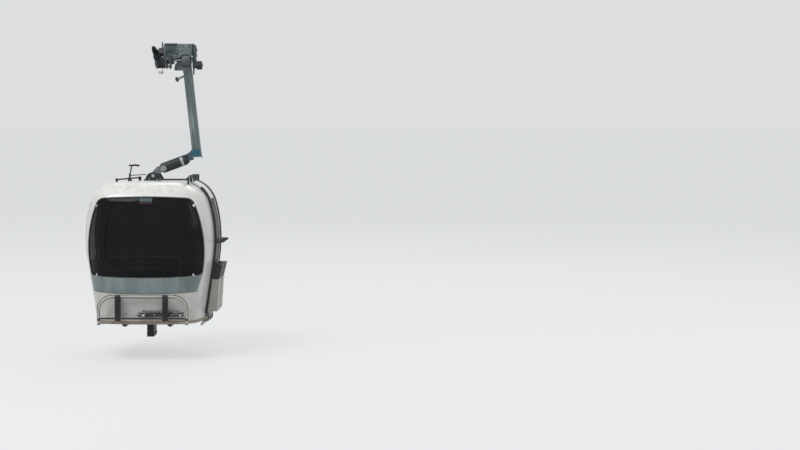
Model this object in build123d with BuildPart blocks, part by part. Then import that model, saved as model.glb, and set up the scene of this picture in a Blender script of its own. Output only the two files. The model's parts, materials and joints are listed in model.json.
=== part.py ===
"""Six-seat gondola lift cabin with its hanger and detachable rope grip, in millimetres.

Frame: the origin is on the rope's axis, midway along the jaws. +Z is up, +X points to the
door side, +Y points down the slope, away from the end that is seen first. The cabin hangs
plumb, and the grip follows a rope that falls towards +Y.
"""
import os
from math import atan2, cos, degrees, hypot, radians, sin, sqrt, tan

from build123d import *

os.makedirs("parts", exist_ok=True)

# Rope and grip
ROPE_SLOPE = 18.0
ROPE_RADIUS = 20.0
JAW_LENGTH = 220.0
JAW_GAP = 6.0
TONGUE_UP = 340.0
TONGUE_DOWN = 480.0
RUNNING_GAP = 0.05

# Hanger pivot, on a shaft along X
PIVOT_Z = -50.0
SHAFT_RADIUS = 30.0
HUB_RADIUS = 108.0

# Cabin hull: plan outline at the belt, as arcs, and the wall's curve in elevation
CABIN_X = -70.0
BELT_HALF_WIDTH = 908.0
BELT_HALF_LENGTH = 985.0
SIDE_RADIUS = 2400.0
END_RADIUS = 2600.0
CORNER_RADIUS = 450.0
ROOF_Z = -1722.0
SILL_Z = -3600.0
BELT_Z = -2518.0
FLANK_RADIUS = 1900.0
SHOULDER_RADIUS = 400.0
TUMBLEHOME = 8.5
WALL = 36.0
SEAM_Y = 450.0
SEAM_GAP = 3.0
ROOF_CAP_DEPTH = 370.0

# Hanger
TUBE_SIZE = 118.0
TUBE_WALL = 8.0
TUBE_TOP = (442.0, -343.0)
TUBE_LOW = (516.0, -1052.0)
DAMPER_LEFT = (40.0, -1566.0)
DAMPER_RIGHT = (435.0, -1422.0)
DAMPER_RADIUS = 72.0
CLEVIS_BOSS = (85.0, -1560.0)
ROOF_PIVOT = (-55.0, -1660.0)

# Doors
DOOR_GAP = 8.0
DOOR_THICKNESS = 22.0
DOOR_LENGTH = 350.0
DOOR_INNER_X = 520.0
DOOR_LOW_Z = -3560.0
DOORWAY_HALF = 308.0
DOORWAY_TOP_Z = -1890.0

# Bumper hoops
BUMPER_X = -96.0
BUMPER_Y = -935.0
HOOP_HALF = 598.0
HOOP_TOP_Z = -3260.0
STRAP_X = (-431.0, 211.0)

# Worked out from the driving dimensions
side_axis_x = BELT_HALF_WIDTH - SIDE_RADIUS
end_axis_y = BELT_HALF_LENGTH - END_RADIUS
shoulder_z = ROOF_Z - SHOULDER_RADIUS
shoulder_depth = FLANK_RADIUS - sqrt((FLANK_RADIUS - SHOULDER_RADIUS) ** 2
                                     - (shoulder_z - BELT_Z) ** 2)


def corner_centre():
    """Centre of the arc that joins the side arc and the end arc in plan, in the +X +Y corner."""
    side_reach = SIDE_RADIUS - CORNER_RADIUS
    end_reach = END_RADIUS - CORNER_RADIUS
    apart = hypot(side_axis_x, end_axis_y)
    along = (side_reach ** 2 - end_reach ** 2 + apart ** 2) / (2 * apart)
    across = sqrt(side_reach ** 2 - along ** 2)
    step_x = -side_axis_x / apart
    step_y = end_axis_y / apart
    return (side_axis_x + along * step_x - across * step_y, along * step_y + across * step_x)


corner_x, corner_y = corner_centre()
side_half_angle = degrees(atan2(corner_y, corner_x - side_axis_x))
end_half_angle = degrees(atan2(corner_x, corner_y - end_axis_y))


def save(part, label, place=Location()):
    """Writes one finished piece as its own STEP file."""
    piece = part.moved(place)
    piece.label = label
    export_step(piece, f"parts/{label}.step")


def block(x_span, y_span, z_span, mode=Mode.ADD):
    """A box between two limits on each axis, for use inside a part's block."""
    middle = [(low + high) / 2 for low, high in (x_span, y_span, z_span)]
    size = [high - low for low, high in (x_span, y_span, z_span)]
    with Locations(tuple(middle)):
        Box(*size, mode=mode)


def rod(start, end, radius, mode=Mode.ADD):
    """A round bar between two points, for use inside a part's block."""
    axis = Vector(*end) - Vector(*start)
    with BuildSketch(Plane(origin=start, z_dir=axis), mode=Mode.PRIVATE) as section:
        Circle(radius)
    extrude(section.sketch, amount=axis.length, mode=mode)


def plan_outline(depth):
    """The hull's outline in plan, inside the belt outline by a depth."""
    side_reach = BELT_HALF_WIDTH - CORNER_RADIUS
    end_reach = BELT_HALF_LENGTH - CORNER_RADIUS
    with BuildSketch(mode=Mode.PRIVATE) as outline:
        with BuildLine():
            ThreePointArc((corner_x, -corner_y), (side_reach, 0), (corner_x, corner_y))
            ThreePointArc((corner_x, corner_y), (0, end_reach), (-corner_x, corner_y))
            ThreePointArc((-corner_x, corner_y), (-side_reach, 0), (-corner_x, -corner_y))
            ThreePointArc((-corner_x, -corner_y), (0, -end_reach), (corner_x, -corner_y))
        make_face()
        if depth < CORNER_RADIUS:
            offset(amount=CORNER_RADIUS - depth, kind=Kind.ARC)
    return outline.sketch


def wall_section(reach, inset):
    """Upright section of the wall against its axis: straight below, flank arc, shoulder arc."""
    lean = radians(TUMBLEHOME)
    rise = atan2(shoulder_z - BELT_Z, FLANK_RADIUS - shoulder_depth)
    half_way = (rise + radians(90)) / 2
    flank = FLANK_RADIUS - inset
    shoulder = SHOULDER_RADIUS - inset
    back = reach - CORNER_RADIUS
    flank_x = reach - FLANK_RADIUS
    shoulder_x = reach - shoulder_depth
    low = (flank_x + flank * cos(lean), BELT_Z - flank * sin(lean))
    foot = (low[0] - (low[1] - SILL_Z) * tan(lean), SILL_Z)
    join = (flank_x + flank * cos(rise), BELT_Z + flank * sin(rise))
    bend = (shoulder_x + shoulder * cos(half_way), shoulder_z + shoulder * sin(half_way))
    top = (shoulder_x, shoulder_z + shoulder)
    with BuildSketch(mode=Mode.PRIVATE) as section:
        with BuildLine():
            Polyline((back, top[1]), (back, SILL_Z), foot, low)
            ThreePointArc(low, (reach - inset, BELT_Z), join)
            ThreePointArc(join, bend, top)
            Line(top, (back, top[1]))
        make_face()
    return section.sketch


def hull(inset):
    """The cabin's closed outer form, moved inward by an inset: a core with eight turned walls."""
    corner_span = 90 - side_half_angle - end_half_angle
    walls = [
        {"reach": SIDE_RADIUS, "axis": (side_axis_x, 0), "from": -side_half_angle},
        {"reach": SIDE_RADIUS, "axis": (-side_axis_x, 0), "from": 180 - side_half_angle},
        {"reach": END_RADIUS, "axis": (0, end_axis_y), "from": 90 - end_half_angle},
        {"reach": END_RADIUS, "axis": (0, -end_axis_y), "from": 270 - end_half_angle},
        {"reach": CORNER_RADIUS, "axis": (corner_x, corner_y), "from": side_half_angle},
        {"reach": CORNER_RADIUS, "axis": (-corner_x, corner_y), "from": 90 + end_half_angle},
        {"reach": CORNER_RADIUS, "axis": (-corner_x, -corner_y), "from": 180 + side_half_angle},
        {"reach": CORNER_RADIUS, "axis": (corner_x, -corner_y), "from": 270 + end_half_angle},
    ]
    spans = {SIDE_RADIUS: 2 * side_half_angle, END_RADIUS: 2 * end_half_angle,
             CORNER_RADIUS: corner_span}
    with BuildPart() as body:
        extrude(plan_outline(CORNER_RADIUS).moved(Location((0, 0, SILL_Z))),
                amount=ROOF_Z - inset - SILL_Z)
        for wall in walls:
            turn = radians(wall["from"])
            section_plane = Plane(origin=wall["axis"], x_dir=(cos(turn), sin(turn), 0),
                                  z_dir=(sin(turn), -cos(turn), 0))
            revolve(section_plane * wall_section(wall["reach"], inset),
                    axis=Axis(wall["axis"], (0, 0, 1)), revolution_arc=spans[wall["reach"]])
    return body.part.moved(Location((CABIN_X, 0, 0)))


def sheet(outer, inner):
    """The closed skin between two hull forms."""
    with BuildPart() as skin:
        add(outer)
        add(inner, mode=Mode.SUBTRACT)
    return skin.part


hull_outer = hull(0)
hull_inner = hull(WALL)
door_outer = hull(-DOOR_GAP - DOOR_THICKNESS)
wall_sheet = sheet(hull_outer, hull_inner)
glass_sheet = sheet(hull(6), hull(12))
gasket_sheet = sheet(hull(-3), hull(20))
door_sheet = sheet(door_outer, hull(-DOOR_GAP))
door_glass_sheet = sheet(hull(-22), hull(-16))

# Windows: outlines of the holes in the end view and in the side view
END_WINDOW = {"top": -1905, "low": -2988, "top_half": 640, "belt_half": 786, "low_half": 758,
              "belt": -2480, "top_corner": 135, "low_corner": 60}
SIDE_WINDOW = {"top": -1985, "low": -2860, "half": 380, "corner": 140, "centre_y": 0}
DOOR_WINDOW = {"top": -1960, "low": -3000, "half": 112, "corner": 60, "centre_y": -190}
GASKET_WIDTH = 16.0


def end_window_outline(margin):
    """The end window's rounded outline in the XZ plane, inside the hole by a margin."""
    top = END_WINDOW["top"] - margin
    low = END_WINDOW["low"] + margin
    belt = END_WINDOW["belt"]
    top_half = END_WINDOW["top_half"] - margin
    belt_half = END_WINDOW["belt_half"] - margin
    low_half = END_WINDOW["low_half"] - margin
    with BuildSketch(Plane.XZ.shift_origin((CABIN_X, 0, 0)), mode=Mode.PRIVATE) as outline:
        with BuildLine():
            ThreePointArc((-low_half, low), (0, low - 22), (low_half, low))
            ThreePointArc((low_half, low), (belt_half, belt), (top_half, top - 25))
            ThreePointArc((top_half, top - 25), (0, top), (-top_half, top - 25))
            ThreePointArc((-top_half, top - 25), (-belt_half, belt), (-low_half, low))
        make_face()
        fillet(outline.vertices().sort_by(Axis.Y)[:2], END_WINDOW["low_corner"])
        fillet(outline.vertices().sort_by(Axis.Y)[-2:], END_WINDOW["top_corner"])
    return outline.sketch


def side_outline(window, margin):
    """A side window's rounded outline in the YZ plane, inside the hole by a margin."""
    height = window["top"] - window["low"] - 2 * margin
    middle = (window["top"] + window["low"]) / 2
    plane = Plane.YZ.shift_origin((0, window["centre_y"], middle))
    with BuildSketch(plane, mode=Mode.PRIVATE) as outline:
        RectangleRounded(2 * (window["half"] - margin), height, window["corner"] - margin)
    return outline.sketch


def roof_cap(margin, mode):
    """The prism that bounds the roof cap in plan, grown by a margin."""
    outline = plan_outline(ROOF_CAP_DEPTH - margin).moved(Location((CABIN_X, 0, -1850)))
    extrude(outline, amount=250, mode=mode)


SEAM_SPAN = (-SEAM_Y + SEAM_GAP / 2, SEAM_Y - SEAM_GAP / 2)
LEFT_SPAN = (-2000, CABIN_X - 300)

# End shells with their windows. On the door side each shell reaches to the doorway
with BuildPart() as near_region:
    block((-2000, 2000), (-1200, -SEAM_Y - SEAM_GAP / 2), (-3700, -1600))
    block((0, 2000), (-1200, -DOORWAY_HALF), (-3700, -1600))
    roof_cap(SEAM_GAP, Mode.SUBTRACT)

with BuildPart() as front_shell:
    add(wall_sheet)
    add(near_region.part, mode=Mode.INTERSECT)
    extrude(end_window_outline(0), amount=1200, mode=Mode.SUBTRACT)
save(front_shell.part, "front_shell")
save(mirror(front_shell.part, about=Plane.XZ), "rear_shell")

with BuildPart() as front_window:
    add(glass_sheet)
    block((-2000, 2000), (-1200, -SEAM_Y), (-3700, -1600), Mode.INTERSECT)
    extrude(end_window_outline(GASKET_WIDTH), amount=1200, mode=Mode.INTERSECT)
save(front_window.part, "front_window")
save(mirror(front_window.part, about=Plane.XZ), "rear_window")

with BuildPart() as front_gasket:
    add(gasket_sheet)
    block((-2000, 2000), (-1200, -SEAM_Y), (-3700, -1600), Mode.INTERSECT)
    extrude(end_window_outline(0.5), amount=1200, mode=Mode.INTERSECT)
    extrude(end_window_outline(GASKET_WIDTH - 0.5), amount=1200, mode=Mode.SUBTRACT)
save(front_gasket.part, "front_gasket")
save(mirror(front_gasket.part, about=Plane.XZ), "rear_gasket")

# Roof cap with the header over the doorway, and the closed side
with BuildPart() as roof_region:
    roof_cap(0, Mode.ADD)
    block((300, 2000), (-DOORWAY_HALF + SEAM_GAP, DOORWAY_HALF - SEAM_GAP), (DOORWAY_TOP_Z, -1600))

with BuildPart() as roof_shell:
    add(wall_sheet)
    add(roof_region.part, mode=Mode.INTERSECT)
save(roof_shell.part, "roof_shell")

with BuildPart() as left_side:
    add(wall_sheet)
    block(LEFT_SPAN, SEAM_SPAN, (-3599, -1600), Mode.INTERSECT)
    roof_cap(SEAM_GAP, Mode.SUBTRACT)
    extrude(side_outline(SIDE_WINDOW, 0), amount=-2000, mode=Mode.SUBTRACT)
save(left_side.part, "left_side")

with BuildPart() as left_window:
    add(glass_sheet)
    block(LEFT_SPAN, SEAM_SPAN, (-3599, -1800), Mode.INTERSECT)
    extrude(side_outline(SIDE_WINDOW, GASKET_WIDTH), amount=-2000, mode=Mode.INTERSECT)
save(left_window.part, "left_window")

with BuildPart() as left_gasket:
    add(gasket_sheet)
    block(LEFT_SPAN, SEAM_SPAN, (-3599, -1800), Mode.INTERSECT)
    extrude(side_outline(SIDE_WINDOW, 0.5), amount=-2000, mode=Mode.INTERSECT)
    extrude(side_outline(SIDE_WINDOW, GASKET_WIDTH - 0.5), amount=-2000, mode=Mode.SUBTRACT)
save(left_gasket.part, "left_gasket")

# Door leaves: they wrap over the shoulder and slide outside the shell
LEAF_SPAN = (-DOOR_LENGTH, -2.5)
SKI_SPAN = (-335, -40)
SKI_BOX = {"low": -3525, "top": -3080, "low_x": 850, "top_x": 880, "wall": 4.0, "slots": 3}
SKI_BOOT = {"low": -3076, "top": -2880, "low_x": 880, "top_x": 928}
SKI_COMB = {"x": 945, "low": -2570, "top": -2545, "teeth": 4, "tooth": 26.0}
CARRIERS = ({"y": -270, "leaf_x": 720}, {"y": -90, "leaf_x": 734})

with BuildPart() as door_leaf:
    add(door_sheet)
    block((DOOR_INNER_X, 2000), LEAF_SPAN, (DOOR_LOW_Z, -1600), Mode.INTERSECT)
    extrude(side_outline(DOOR_WINDOW, 0), amount=2000, mode=Mode.SUBTRACT)
save(door_leaf.part, "door_leaf_front")
save(mirror(door_leaf.part, about=Plane.XZ), "door_leaf_rear")

with BuildPart() as door_glass:
    add(door_glass_sheet)
    block((DOOR_INNER_X, 2000), LEAF_SPAN, (DOOR_LOW_Z, -1600), Mode.INTERSECT)
    extrude(side_outline(DOOR_WINDOW, 0.5), amount=2000, mode=Mode.INTERSECT)
save(door_glass.part, "door_glass_front")
save(mirror(door_glass.part, about=Plane.XZ), "door_glass_rear")

with BuildPart() as door_edge:
    add(sheet(hull(-DOOR_GAP - DOOR_THICKNESS - 12), door_outer))
    block((DOOR_INNER_X, 2000), (-26, -2.5), (-3020, -1600), Mode.INTERSECT)
save(door_edge.part, "door_edge_front")
save(mirror(door_edge.part, about=Plane.XZ), "door_edge_rear")


def ski_pocket(pocket, wall, mode):
    """Adds or cuts a leaning box on the leaf, as a profile in XZ run along Y, inside by a wall."""
    with BuildSketch(Plane.XZ.offset(-SKI_SPAN[0] - wall), mode=Mode.PRIVATE) as profile:
        with BuildLine():
            Polyline((640, pocket["low"] + wall), (pocket["low_x"] - wall, pocket["low"] + wall),
                     (pocket["top_x"] - wall, pocket["top"]), (640, pocket["top"]),
                     (640, pocket["low"] + wall))
        make_face()
    extrude(profile.sketch, amount=-(SKI_SPAN[1] - SKI_SPAN[0] - 2 * wall), mode=mode)


with BuildPart() as ski_box:
    ski_pocket(SKI_BOX, 0, Mode.ADD)
    ski_pocket(SKI_BOX, SKI_BOX["wall"], Mode.SUBTRACT)
    slot_pitch = (SKI_SPAN[1] - SKI_SPAN[0]) / SKI_BOX["slots"]
    for divider in range(1, SKI_BOX["slots"]):
        divider_y = SKI_SPAN[0] + divider * slot_pitch
        block((700, 850), (divider_y - 2, divider_y + 2), (SKI_BOX["low"] + 1, SKI_BOX["top"]))
    add(door_outer, mode=Mode.SUBTRACT)
save(ski_box.part, "ski_box_front")
save(mirror(ski_box.part, about=Plane.XZ), "ski_box_rear")

with BuildPart() as ski_boot:
    ski_pocket(SKI_BOOT, 0, Mode.ADD)
    for slot in range(SKI_BOX["slots"]):
        slot_y = SKI_SPAN[0] + slot * slot_pitch
        block((825, 866), (slot_y + 14, slot_y + slot_pitch - 14), (-3100, -2850), Mode.SUBTRACT)
    add(door_outer, mode=Mode.SUBTRACT)
save(ski_boot.part, "ski_boot_front")
save(mirror(ski_boot.part, about=Plane.XZ), "ski_boot_rear")

with BuildPart() as ski_comb:
    block((780, SKI_COMB["x"]), SKI_SPAN, (SKI_COMB["low"], SKI_COMB["top"]))
    gap_pitch = (SKI_SPAN[1] - SKI_SPAN[0] - SKI_COMB["tooth"]) / (SKI_COMB["teeth"] - 1)
    for gap in range(SKI_COMB["teeth"] - 1):
        gap_y = SKI_SPAN[0] + SKI_COMB["tooth"] + gap * gap_pitch
        block((884, SKI_COMB["x"] + 1), (gap_y, gap_y + gap_pitch - SKI_COMB["tooth"]),
              (SKI_COMB["low"] - 1, SKI_COMB["top"] + 1), Mode.SUBTRACT)
    add(door_outer, mode=Mode.SUBTRACT)
save(ski_comb.part, "ski_comb_front")
save(mirror(ski_comb.part, about=Plane.XZ), "ski_comb_rear")

# Hooks of a leaf over the roof rail, and its shoes beside the bottom rail
with BuildPart() as door_carriers:
    for carrier in CARRIERS:
        span = (carrier["y"] - 20, carrier["y"] + 20)
        block((530, 545), span, (-1760, -1649))
        block((456, 545), span, (-1657, -1649))
        block((456, 462), span, (-1676, -1649))
    add(door_outer, mode=Mode.SUBTRACT)
    for carrier in CARRIERS:
        span = (carrier["y"] - 20, carrier["y"] + 20)
        leaf_x = carrier["leaf_x"]
        block((leaf_x - 4, leaf_x + 6), span, (-3664, -3535))
        block((688, leaf_x + 6), span, (-3664, -3656))
        block((688, 695), span, (-3678, -3656))
    add(door_leaf.part, mode=Mode.SUBTRACT)
save(door_carriers.part, "door_carriers_front")
save(mirror(door_carriers.part, about=Plane.XZ), "door_carriers_rear")

# Floor and what is under it
with BuildPart() as floor_plate:
    add(hull_inner)
    block((-2000, 2000), (-2000, 2000), (-3599, -3580), Mode.INTERSECT)
save(floor_plate.part, "floor_plate")

with BuildPart() as floor_pan:
    extrude(plan_outline(135).moved(Location((CABIN_X, 0, -3600))), amount=-50, taper=25)
save(floor_pan.part, "floor_pan")

with BuildPart() as floor_frame:
    for beam_x in (-380, 240):
        block((beam_x - 30, beam_x + 30), (-700, 700), (-3690, -3650))
        block((beam_x - 22, beam_x + 22), (-701, 701), (-3682, -3658), Mode.SUBTRACT)
    for beam_y in (-500, 500):
        block((-350, 210), (beam_y - 25, beam_y + 25), (-3686, -3650))
save(floor_frame.part, "floor_frame")

with BuildPart() as guide_block:
    block((-150, -54), (-155, 155), (-3900, -3650))
    fillet(guide_block.edges().filter_by(Axis.Z), 14)
save(guide_block.part, "guide_block")

# Door rails
with BuildPart() as door_top_rail:
    block((468, 500), (-620, 620), (-1696, -1664))
    for rail_y in (-500, -160, 160, 500):
        block((472, 496), (rail_y - 20, rail_y + 20), (-1830, -1696))
    add(hull_outer, mode=Mode.SUBTRACT)
save(door_top_rail.part, "door_top_rail")

with BuildPart() as door_bottom_rail:
    block((653, 681), (-640, 640), (-3682, -3658))
    for rail_y in (-330, 0, 330):
        block((590, 674), (rail_y - 20, rail_y + 20), (-3658, -3650))
save(door_bottom_rail.part, "door_bottom_rail")

# Benches along both ends, with a rail behind each window
with BuildPart() as bench:
    with BuildSketch(Plane.YZ.offset(CABIN_X - 640)):
        with BuildLine():
            Polyline((-855, -3100), (-800, -3140), (-480, -3150), (-450, -3170), (-450, -3196),
                     (-520, -3210), (-560, -3579), (-790, -3579), (-855, -3100))
        make_face()
    extrude(amount=1280)
    add(hull(WALL + 4), mode=Mode.INTERSECT)
save(bench.part, "bench_front")
save(mirror(bench.part, about=Plane.XZ), "bench_rear")

RAIL_Y = -775.0
with BuildPart() as window_rail:
    with BuildLine():
        FilletPolyline((-600, RAIL_Y, -2890), (-600, RAIL_Y, -2735), (400, RAIL_Y, -2735),
                       (400, RAIL_Y, -3150), radius=60)
    with BuildSketch(Plane(origin=(-600, RAIL_Y, -2890), z_dir=(0, 0, 1))):
        Circle(15)
    sweep()
    rod((-600, RAIL_Y, -2880), (400, RAIL_Y, -2880), 11)
    for post_x in (-560, -335, 165):
        rod((post_x, RAIL_Y, -3150), (post_x, RAIL_Y, -2735), 11)
    add(bench.part, mode=Mode.SUBTRACT)
save(window_rail.part, "window_rail_front")
save(mirror(window_rail.part, about=Plane.XZ), "window_rail_rear")

# Bumper hoops with rubber straps, and the latch rods behind them
with BuildPart() as bumper_hoop:
    with BuildLine():
        FilletPolyline((BUMPER_X - HOOP_HALF, BUMPER_Y, -3640), (BUMPER_X - HOOP_HALF, BUMPER_Y, HOOP_TOP_Z),
                       (BUMPER_X + HOOP_HALF, BUMPER_Y, HOOP_TOP_Z), (BUMPER_X + HOOP_HALF, BUMPER_Y, -3640),
                       radius=210)
    with BuildSketch(Plane(origin=(BUMPER_X - HOOP_HALF, BUMPER_Y, -3640), z_dir=(0, 0, 1))):
        Circle(18)
    sweep()
    rod((BUMPER_X - HOOP_HALF, BUMPER_Y, -3556), (BUMPER_X + HOOP_HALF, BUMPER_Y, -3556), 9)
    for foot in (-1, 1):
        rod((BUMPER_X + foot * HOOP_HALF, BUMPER_Y, -3622), (BUMPER_X + foot * 430, -780, -3626), 14)
    add(floor_pan.part, mode=Mode.SUBTRACT)
save(bumper_hoop.part, "bumper_hoop_front")
save(mirror(bumper_hoop.part, about=Plane.XZ), "bumper_hoop_rear")

with BuildPart() as bumper_straps:
    for strap_x in STRAP_X:
        block((strap_x - 37, strap_x + 37), (BUMPER_Y - 40, BUMPER_Y + 30), (-3592, HOOP_TOP_Z + 24))
    fillet(bumper_straps.edges().filter_by(Axis.Z), 8)
    add(bumper_hoop.part, mode=Mode.SUBTRACT)
    add(hull_outer, mode=Mode.SUBTRACT)
save(bumper_straps.part, "bumper_straps_front")
save(mirror(bumper_straps.part, about=Plane.XZ), "bumper_straps_rear")

LATCH_Y = -882.0
with BuildPart() as latch_rods:
    rod((-172, LATCH_Y, -3522), (452, LATCH_Y, -3522), 13)
    rod((-140, LATCH_Y, -3490), (430, LATCH_Y, -3490), 8)
    for clamp_x in (-140, 60, 290, 430):
        block((clamp_x - 12, clamp_x + 12), (LATCH_Y - 10, -780), (-3532, -3482))
    add(hull_outer, mode=Mode.SUBTRACT)
save(latch_rods.part, "latch_rods")

# Roof bracket, suspension and hanger
with BuildPart() as roof_bracket:
    block((-185, 60), (-120, 120), (ROOF_Z, ROOF_Z + 12))
    for cheek_y in (-70, 52):
        with BuildSketch(Plane.XZ.offset(-cheek_y)) as cheek:
            with Locations((-62, ROOF_Z + 8)):
                Circle(104)
            with Locations((-62, ROOF_Z - 100)):
                Rectangle(300, 200, mode=Mode.SUBTRACT)
        extrude(cheek.sketch, amount=-18)
    for strut_y in (-82, 82):
        rod((19, strut_y, -1632), (66, strut_y, ROOF_Z + 10), 11)
        rod((19, strut_y, -1632), (19, strut_y * 0.78, -1640), 11)
    rod((ROOF_PIVOT[0], -84, ROOF_PIVOT[1]), (ROOF_PIVOT[0], 84, ROOF_PIVOT[1]), 16)
save(roof_bracket.part, "roof_bracket")

with BuildPart() as clevis_link:
    with BuildSketch(Plane.XZ.offset(45)):
        with Locations(ROOF_PIVOT):
            Circle(40)
        with BuildLine():
            Polyline((-92, -1645), (-60, -1590), (0, -1530), (60, -1520), (85, -1600), (30, -1622),
                     (-30, -1692), (-92, -1645))
        make_face()
    extrude(amount=-90)
    rod((CLEVIS_BOSS[0], -80, CLEVIS_BOSS[1]), (CLEVIS_BOSS[0], 80, CLEVIS_BOSS[1]), 46)
    rod((ROOF_PIVOT[0], -90, ROOF_PIVOT[1]), (ROOF_PIVOT[0], 90, ROOF_PIVOT[1]), 16.2, Mode.SUBTRACT)
    add(hull_outer, mode=Mode.SUBTRACT)
save(clevis_link.part, "clevis_link")

damper_start = (DAMPER_LEFT[0], 0, DAMPER_LEFT[1])
damper_end = (DAMPER_RIGHT[0], 0, DAMPER_RIGHT[1])
with BuildPart() as damper_body:
    rod(damper_start, damper_end, DAMPER_RADIUS)
    chamfer(damper_body.edges().filter_by(GeomType.CIRCLE), 14)
    add(clevis_link.part, mode=Mode.SUBTRACT)
save(damper_body.part, "damper_body")

tube_axis = (Vector(TUBE_LOW[0], 0, TUBE_LOW[1]) - Vector(TUBE_TOP[0], 0, TUBE_TOP[1])).normalized()
tube_start = Vector(TUBE_TOP[0], 0, TUBE_TOP[1]) - tube_axis * 90
with BuildPart() as hanger_tube:
    with BuildSketch(Plane(origin=tube_start, x_dir=(0, 1, 0), z_dir=tube_axis)):
        RectangleRounded(TUBE_SIZE, TUBE_SIZE, 16)
        RectangleRounded(TUBE_SIZE - 2 * TUBE_WALL, TUBE_SIZE - 2 * TUBE_WALL, 8, mode=Mode.SUBTRACT)
    extrude(amount=1150)
save(hanger_tube.part, "hanger_tube")

with BuildPart() as tube_envelope:
    with BuildSketch(Plane(origin=tube_start, x_dir=(0, 1, 0), z_dir=tube_axis)):
        RectangleRounded(TUBE_SIZE, TUBE_SIZE, 16)
    extrude(amount=1300)

with BuildPart() as hanger_arm:
    with BuildSketch(Plane.XZ.offset(48)):
        with BuildLine():
            Polyline((488, -1284), (452, -1330), (404, -1358), (250, -1414), (250, -1452), (446, -1452),
                     (617, -1411), (600, -1290), (488, -1284))
        make_face()
    extrude(amount=-96)
    rod(damper_start, damper_end, DAMPER_RADIUS + 0.5, Mode.SUBTRACT)
    add(tube_envelope.part, mode=Mode.SUBTRACT)
save(hanger_arm.part, "hanger_arm")

with BuildPart() as hanger_head:
    rod((352, 0, PIVOT_Z), (472, 0, PIVOT_Z), HUB_RADIUS)
    chamfer(hanger_head.edges().filter_by(GeomType.CIRCLE), 8)
    with BuildSketch(Plane.XZ.offset(50)):
        with BuildLine():
            Polyline((352, -60), (352, -150), (366, -215), (380, -262), (490, -262), (486, -215),
                     (476, -150), (472, -60), (352, -60))
        make_face()
    extrude(amount=-100)
    with BuildSketch(Plane.XZ.offset(45)):
        with BuildLine():
            Polyline((360, -76), (300, -76), (262, -104), (248, -150), (248, -198), (360, -198), (360, -76))
        make_face()
    extrude(amount=-90)
    for pocket_y in (31, -46):
        with BuildSketch(Plane.XZ.offset(pocket_y)):
            with BuildLine():
                Polyline((336, -186), (336, -112), (304, -98), (278, -122), (268, -150), (268, -186),
                         (336, -186))
            make_face()
        extrude(amount=15, mode=Mode.SUBTRACT)
    rod((230, 0, PIVOT_Z), (352, 0, PIVOT_Z), SHAFT_RADIUS + 8, Mode.SUBTRACT)
    rod((330, 0, PIVOT_Z), (490, 0, PIVOT_Z), SHAFT_RADIUS + RUNNING_GAP, Mode.SUBTRACT)
    add(tube_envelope.part, mode=Mode.SUBTRACT)
save(hanger_head.part, "hanger_head")

with BuildPart() as corner_plate:
    block((482, 601), (-64, -60), (-1398, -1288))
save(corner_plate.part, "corner_plate")

# Guide roller on a leaning stub
GUIDE_MIDDLE = Vector(278, 0, -321)
GUIDE_TILT = radians(26)
guide_axis = Vector(-cos(GUIDE_TILT), 0, -sin(GUIDE_TILT))


def guide_rod(start, end, radius, mode=Mode.ADD):
    """A bar on the guide roller's axis, between two distances from its middle."""
    rod(tuple(GUIDE_MIDDLE + guide_axis * start), tuple(GUIDE_MIDDLE + guide_axis * end),
        radius, mode)


with BuildPart() as guide_stub:
    guide_rod(-140, 24, 12)
    guide_rod(17, 24, 20)
    guide_rod(-22, -17, 20)
    guide_rod(-140, -22, 15)
    add(tube_envelope.part, mode=Mode.SUBTRACT)
    add(hanger_head.part, mode=Mode.SUBTRACT)
save(guide_stub.part, "guide_stub")

with BuildPart() as guide_roller:
    guide_rod(-13, 13, 36)
    fillet(guide_roller.edges().filter_by(GeomType.CIRCLE), 6)
    guide_rod(-40, 40, 12 + RUNNING_GAP, Mode.SUBTRACT)
save(guide_roller.part, "guide_roller")

# Release lever on the roof with its rods, and the bar across the roof to the door rail
with BuildPart() as roof_linkage:
    rod((-505, -450, -1696), (-240, -10, -1684), 11)
    block((-520, -490), (-465, -435), (ROOF_Z, -1680))
    block((-392, -345), (-200, -150), (ROOF_Z, -1680))
    rod((-368, -175, -1690), (-364, -175, -1625), 14)
    rod((-364, -175, -1640), (-340, -175, -1520), 9)
    rod((-362, -175, -1512), (-268, -175, -1506), 13)
    rod((-366, -175, -1650), (-160, -80, -1640), 6)
    block((-268, -232), (-30, 10), (ROOF_Z, -1670))
save(roof_linkage.part, "roof_linkage")

with BuildPart() as door_rod:
    block((74, 456), (-12, 12), (ROOF_Z, ROOF_Z + 20))
    add(hull_outer, mode=Mode.SUBTRACT)
    add(roof_bracket.part, mode=Mode.SUBTRACT)
save(door_rod.part, "door_rod")

# Grip, built level along the rope and then tilted with it
ROPE_FRAME = Plane(origin=(0, 0, 0), x_dir=(1, 0, 0),
                   z_dir=(0, sin(radians(ROPE_SLOPE)), cos(radians(ROPE_SLOPE)))).location
SHAFT_Y = -PIVOT_Z * sin(radians(ROPE_SLOPE))
SHAFT_Z = PIVOT_Z * cos(radians(ROPE_SLOPE))
JAW_SPAN = (-JAW_LENGTH / 2, JAW_LENGTH / 2)
JAW_PIN = (92.0, -52.0)
LEVER_Y = 150.0
LEVER_PIN = (545.0, -90.0)
LEVER_ROLLER = (590.0, -90.0)
WHEEL = {"x": (552, 632), "z": -128, "radius": 62}

with BuildPart() as rope_tongues:
    with BuildSketch(Plane.XY):
        with BuildLine():
            Polyline((ROPE_RADIUS + 4, 105), (44, 105), (44, 190), (30, TONGUE_DOWN), (24, TONGUE_DOWN),
                     (ROPE_RADIUS + 4, 105))
        make_face()
        with BuildLine():
            Polyline((ROPE_RADIUS + 4, -105), (44, -105), (44, -170), (30, -TONGUE_UP), (24, -TONGUE_UP),
                     (ROPE_RADIUS + 4, -105))
        make_face()
    revolve(axis=Axis.Y)
    block((-100, 100), (-600, 600), (-100, JAW_GAP / 2), Mode.SUBTRACT)

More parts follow.
